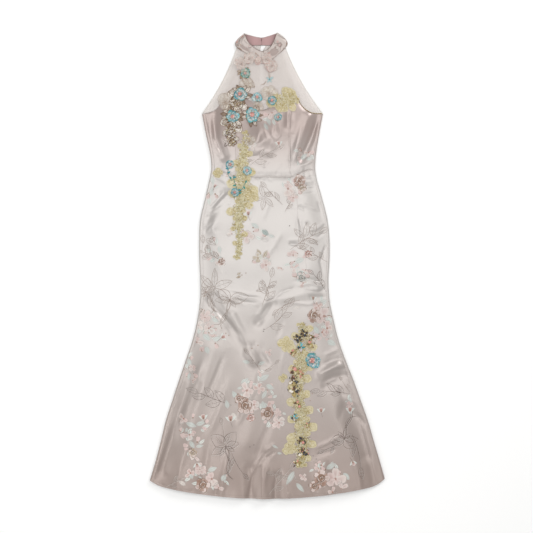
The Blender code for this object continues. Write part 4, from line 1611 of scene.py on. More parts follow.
    def lining(self, name: str, side: int) -> None:
        """Makes one half of the lining.

        Args:
            name: left or right.
            side: -1 for the left and 1 for the right.
        """
        rows = list(COLLAR_STATIONS[: COLLAR_BACK_LAST + 1])
        if side > 0:
            rows = list(COLLAR_STATIONS[-1 : -COLLAR_BACK_LAST - 2 : -1])
        table = np.asarray(rows, float)
        shift = side * 3.0 * np.abs(table[:, 2] + 18) / 80
        low = np.column_stack([table[:, 4] - shift, table[:, 5] + 0.6])
        middle = np.column_stack([table[:, 2] - shift, table[:, 3]])
        high = np.column_stack([table[:, 0] - shift * 0.5, table[:, 1] - 1.2])
        keys = np.arange(4.0)
        at = np.linspace(0, 3, 22)
        rails = []
        for rail in (low, middle, high):
            keyed = np.column_stack([keys, rail])
            rails.append(np.column_stack([curve(keyed, at, 1), curve(keyed, at, 2)]))
        share = np.linspace(0, 1, 10)[:, None, None]
        flat = np.where(
            share < 0.5,
            rails[0] + (rails[1] - rails[0]) * share * 2,
            rails[1] + (rails[2] - rails[1]) * (share * 2 - 1),
        )
        z = np.full(flat.shape[:2], COLLAR_WALL + REST_GAP + 0.9)
        z += 0.25 * np.sin(np.arange(22)[None, :] * 0.9)
        points = np.concatenate([flat, z[..., None]], axis=-1)
        # Painted light and shade: the lining's colour rises and falls in soft bands along it.
        shade = 0.9 + 0.14 * np.sin(np.linspace(0, 5, 22))[None, :, None] * np.ones((10, 1, 1))
        tints = np.asarray(rgb(172, 136, 135))[None, None, :] * shade
        cut = Cut(Finish.LINING, Finish.THREAD)
        cut.grid(points, tints, flip=side < 0)
        made = cut.piece(f"collar_lining_{name}_satin", (f"collar_lining_{name}",), 0.5)


@dataclass
class Drawing:
    """The print's line drawings and painted flowers, laid on the cloth."""

    form: Form
    cut: Cut
    line_lift: float = 0.48
    paint_lift: float = 0.36
    layer: float = 0.0
    over: float = 0.0

    def line(self, points: Array, width: float, tint: Colour) -> None:
        """A drawn line through x and h, thin at both ends, cut off at the cloth's edges, and with a pale copy
        beside it as a painted highlight.

        Args:
            points: Rows of x and h.
            width: Width in millimetres.
            tint: Colour.
        """
        kept = self.form.inside(points, 2.0)
        if not kept.all():
            last = int(np.argmin(kept)) if kept[0] else 0
            points = points[:last]
        if len(points) < 3:
            return
        aside = sideways(points)
        share = np.linspace(0, 1, len(points))
        half = 0.5 * width * (0.35 + 0.65 * np.sin(math.pi * share) ** 0.6)[:, None]
        # A pale copy shifted to one side just under the line: a painted highlight, as if the line were
        # raised.
        pale = blend(satin_tint(float(points[0, 1])), Ink.LIGHT, 0.55)
        for shift, lift, shade in (((0.9, -0.9), -0.02, pale), ((0.0, 0.0), 0.0, tint)):
            left = self.form.on(points + aside * half + shift, self.line_lift + self.over + lift)
            right = self.form.on(points - aside * half + shift, self.line_lift + self.over + lift)
            self.cut.grid(np.stack([right, left]), shade)

    def stroke(self, points: Array, step: float, width: float, tint: Colour) -> None:
        """A drawn line on a smooth curve through x and h."""
        self.line(smooth_path(points, step), width, tint)

    def patch(self, centre: Array, outline: Array, inner: Colour, outer: Colour, soft: float = 0.6) -> None:
        """A painted patch that fades from its middle to its rim.

        Args:
            centre: x and h of its middle.
            outline: Rows of x and h round it.
            inner: Colour of the middle.
            outer: Colour of the rim.
            soft: How far the rim's colour goes toward the cloth's.
        """
        self.layer = (self.layer + 0.008) % 0.08
        middle = np.asarray(centre, float)
        if not self.form.inside(np.vstack([middle[None, :], outline]), 1.5).all():
            return
        rings = (0.0, 0.35, 0.7, 0.92, 1.0)
        cloth = satin_tint(middle[1])
        inner, outer = blend(inner, cloth, 0.1), blend(outer, cloth, 0.12)
        edge = blend(outer, cloth, soft)
        dim = 1.0 - 0.16 * part_way(middle[1], HEM_SHADE_LOW, HEM_SHADE_HIGH)
        inner, outer = blend(BLACK, inner, dim), blend(BLACK, outer, dim)
        shades = (inner, blend(inner, outer, 0.25), blend(inner, outer, 0.75), outer, edge)
        count = len(outline)
        points = [middle[None, :]]
        tints = [np.asarray(shades[0])[None, :]]
        for share, shade in zip(rings[1:], shades[1:]):
            points.append(middle + (outline - middle) * share)
            tints.append(np.broadcast_to(np.asarray(shade), (count, 3)))
        placed = self.form.on(np.vstack(points), self.paint_lift + self.over + self.layer)
        self.cut.add(placed, disc(count, len(rings) - 2), np.vstack(tints))

    def drawn_leaf(self, leaf: Leaf, tint: Colour) -> None:
        """A leaf drawn in thin lines, with its veins.

        Args:
            leaf: The leaf.
            tint: Colour.
        """
        left, right, vein = leaf
        self.stroke(left, 3.0, 1.4, tint)
        self.stroke(right, 3.0, 1.2, tint)
        self.stroke(vein, 4.0, 0.9, tint)
        pale = blend(tint, satin_tint(vein[0, 1]), 0.45)
        for k in (2, 4, 6):
            for rim in (left, right):
                tip = rim[min(k + 1, len(rim) - 1)]
                start = vein[k]
                self.line(np.linspace(start, start + (tip - start) * 0.88, 4), 0.8, pale)

    def round_petal(
        self, root: Array, angle: float, length: float, width: float, inner: Colour, outer: Colour
    ) -> Array:
        """A painted petal with a broad, slightly uneven tip.

        Args:
            root: x and h of its foot.
            angle: Direction, in radians.
            length: Length.
            width: Greatest width.
            inner: Colour at its middle.
            outer: Colour of its rim.

        Returns:
            Its outline, rows of x and h.
        """
        turn = np.linspace(0, 2 * math.pi, 17)[:-1]
        along = 0.5 - 0.5 * np.cos(turn)
        wide = 0.5 * np.sin(turn) * (0.45 + 0.55 * along)
        along = along - 0.06 * np.exp(-(((turn - math.pi) / 0.35) ** 2)) + 0.03 * np.sin(3 * turn + angle)
        outline = root + turned(length * along, width * wide, angle)
        self.patch(root + 0.45 * length * heading(angle), outline, inner, outer, 0.35)
        return outline

    def petal(self, leaf: Leaf, inner: Colour, outer: Colour) -> None:
        """A painted petal or leaf, from the colour of its middle to that of its rim."""
        self.patch(leaf.vein[3], np.vstack([leaf.right, leaf.left[-2:0:-1]]), inner, outer)


@dataclass
class Motifs(Drawing):
    """Generic motifs of the print, each with a seeded hand-drawn unevenness."""

    seed: int = 3

    def __post_init__(self) -> None:
        """Seeds the unevenness."""
        self.draw = random.Random(self.seed)

    def spray(self, root: Array, angle: float, length: float, leaves: int, ink: Ink = Ink.FAINT) -> None:
        """A stem with drawn leaves on alternate sides.

        Args:
            root: x and h of its foot.
            angle: Direction in degrees, anticlockwise from the right.
            length: Length in units of the frame.
            leaves: Number of leaves.
            ink: Colour.
        """
        turn = math.radians(angle)
        share = np.linspace(0, 1, 9)
        bend = self.draw.uniform(-0.5, 0.5)
        way = turn + bend * share
        stem = root + np.cumsum(length * UNIT / 9 * heading(way), axis=0)
        self.stroke(np.vstack([root, stem]), 3.0, 1.6, ink)
        for k in range(leaves):
            at = stem[int(1 + k * 7 / max(leaves, 1))]
            side = 1 if k % 2 else -1
            spread = side * self.draw.uniform(0.5, 1.0)
            size = length * UNIT * self.draw.uniform(0.32, 0.5)
            width = size * self.draw.uniform(0.34, 0.5)
            self.drawn_leaf(Leaf.grown(at, way[4] + spread, size, width, -side * 0.5), ink)
        tip = Leaf.grown(stem[-1], way[-1], length * UNIT * 0.35, length * UNIT * 0.15, 0.2)
        self.drawn_leaf(tip, ink)

    def star(self, centre: Array, size: float, petals: int, turn: float, ink: Ink = Ink.FAINT) -> None:
        """An open flower drawn in lines.

        Args:
            centre: x and h of its middle.
            size: Petal length in units of the frame.
            petals: Number of petals.
            turn: Turn in degrees.
            ink: Colour.
        """
        for k in range(petals):
            angle = math.radians(turn) + 2 * math.pi * k / petals + self.draw.uniform(-0.2, 0.2)
            length = size * UNIT * self.draw.uniform(0.75, 1.1)
            width = length * self.draw.uniform(0.26, 0.42)
            bend = self.draw.uniform(-0.4, 0.4)
            self.drawn_leaf(Leaf.grown(centre + 2.5 * heading(angle), angle, length, width, bend), ink)

    def bow(self, knot: Array, size: float, turn: float, ink: Ink = Ink.FAINT) -> None:
        """A ribbon bow drawn in lines: three hatched loops and a tail on each side of its knot.

        Args:
            knot: x and h of its knot.
            size: Loop length in units of the frame.
            turn: Turn in degrees.
            ink: Colour.
        """
        pale = blend(ink, satin_tint(knot[1]), 0.35)
        for side in (0, 1):
            base = math.radians(turn) + (math.pi - 0.3 if side else 0.3)
            sign = -1 if side else 1
            length = size * UNIT * self.draw.uniform(0.95, 1.15)
            for spread, share, wide in ((0.42, 1.0, 0.6), (-0.32, 0.78, 0.36), (-0.95, 0.5, 0.2)):
                angle = base + sign * spread + self.draw.uniform(-0.25, 0.25)
                reach = length * share * self.draw.uniform(0.75, 1.1)
                left, right, _ = Leaf.grown(knot, angle, reach, length * wide, -0.2 * sign, 9)
                for rim in (left, right):
                    self.stroke(rim, 3.0, 1.5, ink)
                for k in range(4):
                    far = self.draw.uniform(0.5, 0.78)
                    hatch = reach * np.linspace(0.16, far, 5)[:, None] * heading(angle + (k - 1.5) * 0.15)
                    self.line(knot + hatch, 0.9, pale)
            tail = math.radians(turn) - math.pi / 2 + (-0.7 if side else 0.45)
            share = np.linspace(0, 1, 12)
            way = tail - sign * 0.9 * np.sin(3.6 * share + 0.4 * side)
            path = knot + np.cumsum(length * self.draw.uniform(0.13, 0.17) * heading(way), axis=0)
            aside = np.column_stack([-np.sin(way), np.cos(way)]) * (4.2 * np.sin(math.pi * share))[:, None]
            self.stroke(np.vstack([knot, path]), 3.0, 1.9, ink)
            self.stroke(np.vstack([knot, path + aside]), 3.0, 1.3, ink)
        ring = np.linspace(0, 2 * math.pi, 12)
        self.line(knot + 2.6 * heading(ring), 1.5, ink)

    def blossom(
        self, centre: Array, radius: float, petals: int, inner: Ink = Ink.ROSE, outer: Ink = Ink.PINK
    ) -> None:
        """A painted flower of rounded petals with a faint drawn rim.

        Args:
            centre: x and h of its middle.
            radius: Radius in units of the frame.
            petals: Number of petals.
            inner: Colour near its middle.
            outer: Colour of the petals.
        """
        start = self.draw.uniform(0, FULL_TURN)
        reach = radius * UNIT * 1.3
        cloth = satin_tint(centre[1])
        for k in range(petals):
            if self.draw.random() < 0.14:
                continue
            angle = start + 2 * math.pi * k / petals + self.draw.uniform(-0.25, 0.25)
            length = reach * self.draw.uniform(0.65, 1.15)
            pale = Ink.MINT if self.draw.random() < 0.2 else Ink.CREAM
            shade = blend(outer, pale, self.draw.uniform(0.1, 0.9))
            heart = blend(inner, shade, self.draw.uniform(0.3, 0.75))
            width = reach * self.draw.uniform(0.7, 1.15)
            outline = self.round_petal(centre, angle, length, width, heart, shade)
            rim = blend(Ink.LINE, cloth, 0.35)
            low = self.draw.randint(3, 6)
            self.stroke(outline[low : low + self.draw.randint(5, 8)], 3.0, 0.9, rim)
            vein = centre + np.linspace(0.15, 0.6, 4)[:, None] * (outline[8] - centre)
            self.line(vein, 0.8, blend(inner, Ink.BROWN, 0.35))
        self.patch(centre, self.round(centre, reach * 0.15), Ink.BROWN, inner, 0.0)

    def bouquet(self, centre: Array, wide: float, tall: float, tilt: float, count: int) -> None:
        """A painted ground of curling mint leaves, loose petals and brown shadows for a group of flowers.

        Args:
            centre: x and h of its middle.
            wide: Half its width in units of the frame.
            tall: Half its height in units of the frame.
            tilt: Turn in degrees.
            count: Number of leaves and of petals.
        """
        draw = self.draw
        turn = math.radians(tilt)
        cloth = satin_tint(centre[1])
        for k in range(2 * count):
            angle = draw.uniform(0, 2 * math.pi)
            away = math.sqrt(draw.uniform(0.1, 1.0)) * UNIT
            dx, dh = wide * away * math.cos(angle), tall * away * math.sin(angle)
            root = centre + turned(dx, dh, turn)
            way = angle + turn + draw.uniform(-1.2, 1.2)
            length = draw.uniform(3.4, 6.6) * UNIT
            if k % 2 == 0:
                mint = blend(Ink.MINT, Ink.AQUA, draw.uniform(0.0, 0.8))
                bend = draw.choice((-1.3, -0.8, 0.8, 1.3))
                width = length * draw.uniform(0.4, 0.62)
                self.petal(Leaf.grown(root, way, length * 1.25, width, bend, 7), mint, mint)
                vein = Leaf.grown(root, way, length * 1.25, length * 0.5, bend).vein
                self.stroke(vein, 3.0, 0.7, blend(Ink.LINE, cloth, 0.45))
                continue
            pink = blend(Ink.PINK, Ink.ROSE, draw.uniform(0.0, 0.6))
            outline = self.round_petal(root, way, length, length * draw.uniform(0.7, 1.0), pink, Ink.PINK)
            shadow = blend(Ink.BROWN, Ink.UMBER, draw.uniform(0.0, 0.6))
            low = draw.randint(0, 8)
            if draw.random() < 0.6:
                self.stroke(outline[low : low + 6], 2.0, draw.uniform(1.0, 2.2), shadow)
            if draw.random() < 0.35:
                self.patch(root, self.round(root, draw.uniform(1.6, 3.2), 8), shadow, shadow, 0.2)

    @staticmethod
    def round(centre: Array, radius: float, count: int = 9) -> Array:
        """Points of a circle."""
        return centre + radius * heading(np.linspace(0, 2 * math.pi, count + 1)[:-1])

    def leaf(self, root: Array, angle: float, length: float, width: float, ink: Ink = Ink.AQUA) -> None:
        """A painted leaf with a drawn vein.

        Args:
            root: x and h of its foot.
            angle: Direction in degrees.
            length: Length in units of the frame.
            width: Width in units of the frame.
            ink: Colour.
        """
        turn = math.radians(angle)
        painted = Leaf.grown(root, turn, length * UNIT, width * UNIT, 0.0, 7)
        self.petal(painted, ink, blend(ink, satin_tint(root[1]), 0.3))
        left, _, vein = Leaf.grown(root, turn, length * UNIT, width * UNIT, 0.0)
        shade = blend(ink, Ink.LINE, 0.5)
        self.stroke(vein[:-1], 3.0, 0.9, shade)
        self.stroke(left, 3.0, 0.9, shade)

    def rose(self, centre: Array, radius: float, ink: Ink = Ink.BROWN) -> None:
        """A painted rose: overlapping dark and light petals that wind to its heart.

        Args:
            centre: x and h of its middle.
            radius: Radius in units of the frame.
            ink: Colour.
        """
        reach = radius * UNIT * 1.35
        deep = blend(ink, Ink.UMBER, 0.8)
        pale = blend(Ink.PINK, Ink.CREAM, 0.4)
        start = self.draw.uniform(0, FULL_TURN)
        base = blend(ink, Ink.PINK, 0.3)
        self.patch(centre, self.round(centre, reach * 0.86, 14), base, base, 0.2)
        self.over += 0.05
        for k in range(5):
            angle = start + 2 * math.pi * k / 5 + self.draw.uniform(-0.2, 0.2)
            foot = centre + reach * 0.28 * heading(angle)
            size = reach * self.draw.uniform(0.6, 0.82)
            body = blend(ink, pale, self.draw.uniform(0.55, 0.95))
            rim = pale
            if k in (1, 2):
                body = blend(ink, deep, self.draw.uniform(0.0, 0.5))
                rim = blend(ink, Ink.ROSE, 0.4)
            outline = self.round_petal(foot, angle, size, size * 1.1, body, rim)
            low = 2 + self.draw.randint(0, 6)
            self.stroke(outline[low : low + 6], 2.0, self.draw.uniform(1.2, 2.6), deep)
        self.over += 0.13
        self.patch(centre, self.round(centre, reach * 0.5, 12), ink, blend(ink, deep, 0.4), 0.1)
        for k in range(4):
            turn = start + 1.7 * k + np.linspace(0, 2.3 - 0.2 * k, 9)
            away = reach * (0.5 - 0.11 * k)
            arc = centre + away * heading(turn)
            self.line(arc, 0.9 + 0.36 * radius, deep)
            self.line(centre + (arc - centre)[2:7] * 0.8, 0.7 + 0.16 * radius, pale)
        self.patch(centre, self.round(centre, reach * 0.12), Ink.UMBER, deep, 0.0)
        self.over -= 0.18

    def bud(self, root: Array, angle: float, size: float, ink: Ink = Ink.CORAL) -> None:
        """A bud in its two leaves.

        Args:
            root: x and h of its foot.
            angle: Direction in degrees.
            size: Length in units of the frame.
            ink: Colour.
        """
        turn = math.radians(angle)
        length = size * UNIT
        for spread in (-0.6, 0.55):
            leaf = Leaf.grown(root, turn + spread, length * 1.1, length * 0.42, spread, 7)
            self.petal(leaf, Ink.AQUA, Ink.MINT)
        self.over += 0.1
        dark = blend(ink, Ink.BROWN, 0.45)
        outline = self.round_petal(root, turn, length * 0.95, length * 0.85, dark, blend(ink, Ink.PINK, 0.5))
        self.stroke(outline[4:12], 2.0, 1.2, Ink.PINK)
        heart = root + 0.26 * length * heading(turn)
        self.patch(heart, self.round(heart, length * 0.17, 8), Ink.UMBER, Ink.BROWN, 0.2)
        self.over -= 0.1
        share = np.linspace(0, 1, 6)[:, None]
        self.line(root - share * 0.9 * length * heading(turn + 0.25), 1.1, Ink.LINE)

    def dots(self, places: tuple, ink: Ink) -> None:
        """Small printed specks.

        Args:
            places: Places in the frame.
            ink: Colour.
        """
        for place in places:
            centre = self.form.at(*place)
            self.patch(centre, self.round(centre, 2.0, 7), ink, blend(ink, Ink.CREAM, 0.2), 0.1)


# Drawn sprays: foot, direction, length, leaves, and a colour other than the usual one.
SPRAYS = (
    (290, 250, 38, 34, 4), (327, 262, 150, 24, 3), (200, 230, -60, 26, 3), (199, 262, 50, 22, 2),
    (222, 262, 140, 22, 2), (262, 306, 70, 30, 3), (264, 330, 30, 34, 3), (300, 300, 190, 24, 2),
    (326, 292, 115, 22, 3, Ink.LINE), (250, 166, 40, 30, 3), (255, 160, 200, 12, 1), (283, 205, 140, 24, 2),
    (285, 212, 65, 16, 2), (232, 405, 160, 36, 4, Ink.LINE), (262, 372, 125, 22, 2), (262, 372, 30, 16, 1),
    (350, 394, 168, 30, 4, Ink.LINE), (350, 392, 130, 14, 1), (166, 486, 30, 22, 3), (268, 494, 52, 34, 3),
    (300, 480, 160, 26, 2), (232, 452, -70, 24, 1, Ink.LINE), (224, 446, 85, 22, 1),
    (352, 434, -65, 34, 1, Ink.LINE), (344, 440, -150, 22, 2, Ink.LINE),
)

# Drawn flowers: middle, petal length, petals, turn.
STARS = (
    (214, 288, 18, 6, 12), (264, 198, 13, 5, 40), (305, 238, 14, 4, 70), (266, 288, 11, 4, 20),
)

# Drawn bows: knot, loop length, turn, and a colour other than the usual one.
BOWS = (
    (226, 446, 19, 12, Ink.LINE), (344, 438, 17, 168, Ink.LINE), (206, 292, 15, 30), (230, 300, 16, -15),
)

# Painted grounds: middle, half width, half height, tilt, leaves.
BOUQUETS = (
    (292, 187, 9, 7, 20, 5), (252, 234, 11, 7, -10, 5), (262, 260, 7, 8, 30, 4), (298, 263, 8, 15, 10, 7),
    (303, 279, 6, 7, 0, 3), (320, 313, 12, 12, 30, 9), (206, 322, 9, 12, 20, 8), (208, 340, 11, 8, -20, 6),
    (191, 366, 5, 11, 0, 4), (256, 395, 20, 15, -35, 16), (274, 415, 11, 9, -40, 7),
    (191, 424, 15, 8, 5, 7), (192, 443, 8, 12, 30, 6), (208, 477, 18, 9, -12, 12),
    (326, 474, 17, 10, -8, 12), (272, 118, 7, 5, -30, 3), (304, 156, 8, 6, 30, 4), (325, 336, 8, 7, -20, 5),
    (215, 250, 5, 10, 0, 3), (212, 190, 4, 9, 0, 3), (350, 402, 3, 9, 0, 3),
)

# Painted flowers: middle, radius, petals, and colours other than the usual ones.
BLOSSOMS = (
    (288, 189, 7, 5), (293, 198, 4.5, 4), (247, 236, 6, 5), (232, 234, 4.5, 4, Ink.PINK, Ink.CREAM),
    (266, 265, 5.5, 4), (258, 258, 5, 4, Ink.OLIVE, Ink.OLIVE), (293, 255, 4.5, 4),
    (281, 268, 3, 3, Ink.CORAL), (294, 268, 4, 3), (303, 283, 4, 3, Ink.CORAL), (324, 316, 8.5, 5),
    (318, 306, 4.5, 4, Ink.CORAL), (327, 328, 6, 4, Ink.CORAL), (205, 317, 6, 5), (209, 328, 6, 5),
    (199, 325, 4.5, 4, Ink.PINK, Ink.CREAM), (197, 342, 5, 4), (220, 263, 4, 4, Ink.ROSE, Ink.CREAM),
    (247, 390, 8, 5), (259, 388, 5, 4, Ink.CORAL), (254, 404, 6, 5), (268, 407, 6, 4, Ink.CORAL),
    (279, 422, 6, 5), (277, 412, 4, 4), (190, 434, 5, 4), (184, 418, 4.5, 4, Ink.CORAL), (195, 456, 4, 3),
    (191, 472, 5, 5, Ink.CORAL), (200, 469, 5.5, 5), (212, 478, 7, 5), (219, 487, 5.5, 5), (335, 478, 8, 5),
    (341, 487, 5.5, 4), (318, 467, 3.5, 4, Ink.CORAL), (332, 491, 4.5, 4, Ink.CORAL), (303, 476, 3.5, 4),
    (272, 114, 5, 3), (300, 158, 4, 4), (308, 153, 3.5, 3, Ink.CORAL),
    (252, 147, 4, 3, Ink.PINK, Ink.CREAM), (322, 332, 5, 4, Ink.CORAL), (193, 368, 4, 4),
    (193, 380, 3, 3, Ink.CORAL), (350, 404, 3.5, 3), (269, 352, 3.5, 3), (260, 372, 3, 3, Ink.CORAL),
)

# Painted leaves: foot, direction, length, width, and a colour other than the usual one.
LEAVES = (
    (259, 228, 150, 9, 4.5), (262, 230, -40, 9, 5, Ink.TEAL), (268, 235, -20, 7, 3.5),
    (263, 258, 60, 9, 4, Ink.OLIVE), (261, 256, 120, 8, 4, Ink.OLIVE), (295, 262, 20, 10, 5.5),
    (292, 264, -30, 9, 4), (303, 272, 200, 7, 4, Ink.TEAL), (303, 276, -60, 7, 3.5), (219, 246, -80, 8, 4),
    (221, 256, -110, 8, 3.5), (320, 304, 30, 8, 4.5), (314, 326, -60, 9, 5),
    (300, 306, 200, 8, 3, Ink.CREAM), (212, 318, -30, 8, 4.5), (203, 334, -40, 10, 5.5),
    (213, 340, 20, 9, 5), (206, 346, -70, 8, 5), (327, 340, -30, 10, 6), (335, 334, 50, 7, 4),
    (241, 384, 40, 10, 5.5), (259, 380, 30, 12, 5.5), (266, 384, -30, 9, 5), (237, 398, 120, 9, 5),
    (262, 400, -70, 12, 4.5), (262, 398, 60, 10, 4), (232, 412, -60, 9, 5, Ink.CREAM),
    (228, 408, 100, 9, 4.5), (186, 422, -20, 12, 5), (196, 424, 15, 10, 4.5), (190, 440, -60, 9, 4.5),
    (196, 446, 10, 8, 3.5), (186, 484, 150, 8, 4, Ink.CREAM), (208, 470, 20, 10, 5),
    (193, 478, 110, 10, 4.5), (222, 480, 60, 8, 5.5), (326, 468, 30, 11, 5.5), (343, 472, -50, 9, 5),
    (294, 470, -120, 16, 5), (296, 482, -50, 12, 4.5), (272, 444, -30, 7, 2.5), (277, 452, -10, 5, 2.5),
    (267, 118, -70, 9, 4), (264, 124, -60, 8, 3.5), (300, 160, 40, 9, 4.5), (306, 160, 20, 8, 4),
    (214, 184, 110, 8, 4), (211, 196, 80, 9, 4), (250, 362, 170, 8, 3.5), (258, 364, 20, 8, 3.5),
    (188, 358, -70, 9, 4), (190, 372, -100, 8, 3.5), (349, 396, -80, 9, 3.5),
    (237, 275, 30, 5, 2.5, Ink.OLIVE), (241, 276, 200, 5, 2.5, Ink.OLIVE),
)

# Painted roses: middle, radius, and a colour other than the usual one.
ROSES = (
    (299.5, 181, 5), (302, 188, 3.4, Ink.OLIVE), (314, 315, 5.4), (245, 405, 6), (267, 413, 5.4),
    (239, 398, 3.4), (203, 484, 5.6), (321, 477, 6.2), (314, 485, 4.2), (308, 254, 3, Ink.CORAL),
    (301, 277, 3.6, Ink.TEAL), (201, 311, 3.2, Ink.OLIVE), (193, 452, 3.6, Ink.OLIVE),
    (251, 417, 3.2, Ink.CORAL), (222, 261, 2.8),
)

# Painted buds: foot, direction, length, and a colour other than the usual one.
BUDS = (
    (204, 419, 100, 6), (231, 421, 95, 7), (321, 412, 95, 5.5), (350, 412, 92, 6), (248.5, 216, 95, 5.5),
    (221, 338, 30, 5.5), (197, 462, -80, 5.5, Ink.ROSE), (313, 300, 90, 4.5, Ink.BROWN), (279, 146, 100, 5),
    (214, 188, 60, 4.5, Ink.ROSE), (352, 460, -70, 5, Ink.ROSE),
)

# Places of the printed specks.
DARK_DOTS = (
    (289.5, 226), (264, 329), (263.5, 331), (300, 336), (313, 455), (316, 458), (250, 446), (254, 444),
)
BROWN_DOTS = (
    (223, 334), (226, 333), (229, 335), (239, 277), (242, 275), (246, 273), (305, 332), (309, 335),
    (313, 333), (312, 393), (310, 400), (205, 296), (252, 348), (258, 345), (318, 338), (226, 482),
)


@dataclass
class PrintedCloth:
    """The print of the satin: drawn sprays and bows, painted flowers, roses and leaves."""

    form: Form

    def build(self) -> None:
        """Makes the print of the skirt and of the bodice."""
        for name, low, high in (("skirt_print", FRAME_WAIST, 600.0), ("bodice_print", 90.0, FRAME_WAIST)):
            cut = Cut(Finish.PRINT)
            motifs = Motifs(self.form, cut)

            def here(row: tuple, low: float = low, high: float = high) -> bool:
                """True for a motif of this part of the dress."""
                return low <= row[1] < high

            kinds = (
                (0, SPRAYS, motifs.spray),
                (0, STARS, motifs.star),
                (0, BOWS, motifs.bow),
                (0, BOUQUETS, motifs.bouquet),
                (1, LEAVES, motifs.leaf),
                (2, BLOSSOMS, motifs.blossom),
                (3, ROSES, motifs.rose),
                (4, BUDS, motifs.bud),
            )
            for layer, table, paint in kinds:
                motifs.over = 0.12 * layer
                for across, down, *rest in filter(here, table):
                    paint(self.form.at(across, down), *rest)
            motifs.dots(tuple(filter(here, DARK_DOTS)), Ink.DARK)
            motifs.dots(tuple(filter(here, BROWN_DOTS)), Ink.BROWN)
            cut.piece(name)


class Palette(Enum):
    """Colours of a fabric flower: petal foot, petal rim, rim cord and centre."""

    TURQUOISE = (Thread.LAVENDER, Thread.SKY, Thread.TURQUOISE, Thread.CORAL)
    BRIGHT = (Thread.LAVENDER, Thread.TURQUOISE, Thread.TURQUOISE, Thread.CORAL)
    GREEN = (Thread.TAUPE, Thread.GREEN, Thread.GREEN, Thread.ROSE)
    PINK = (Thread.PINK, Thread.PEARL, Thread.CORAL, Thread.PINK)


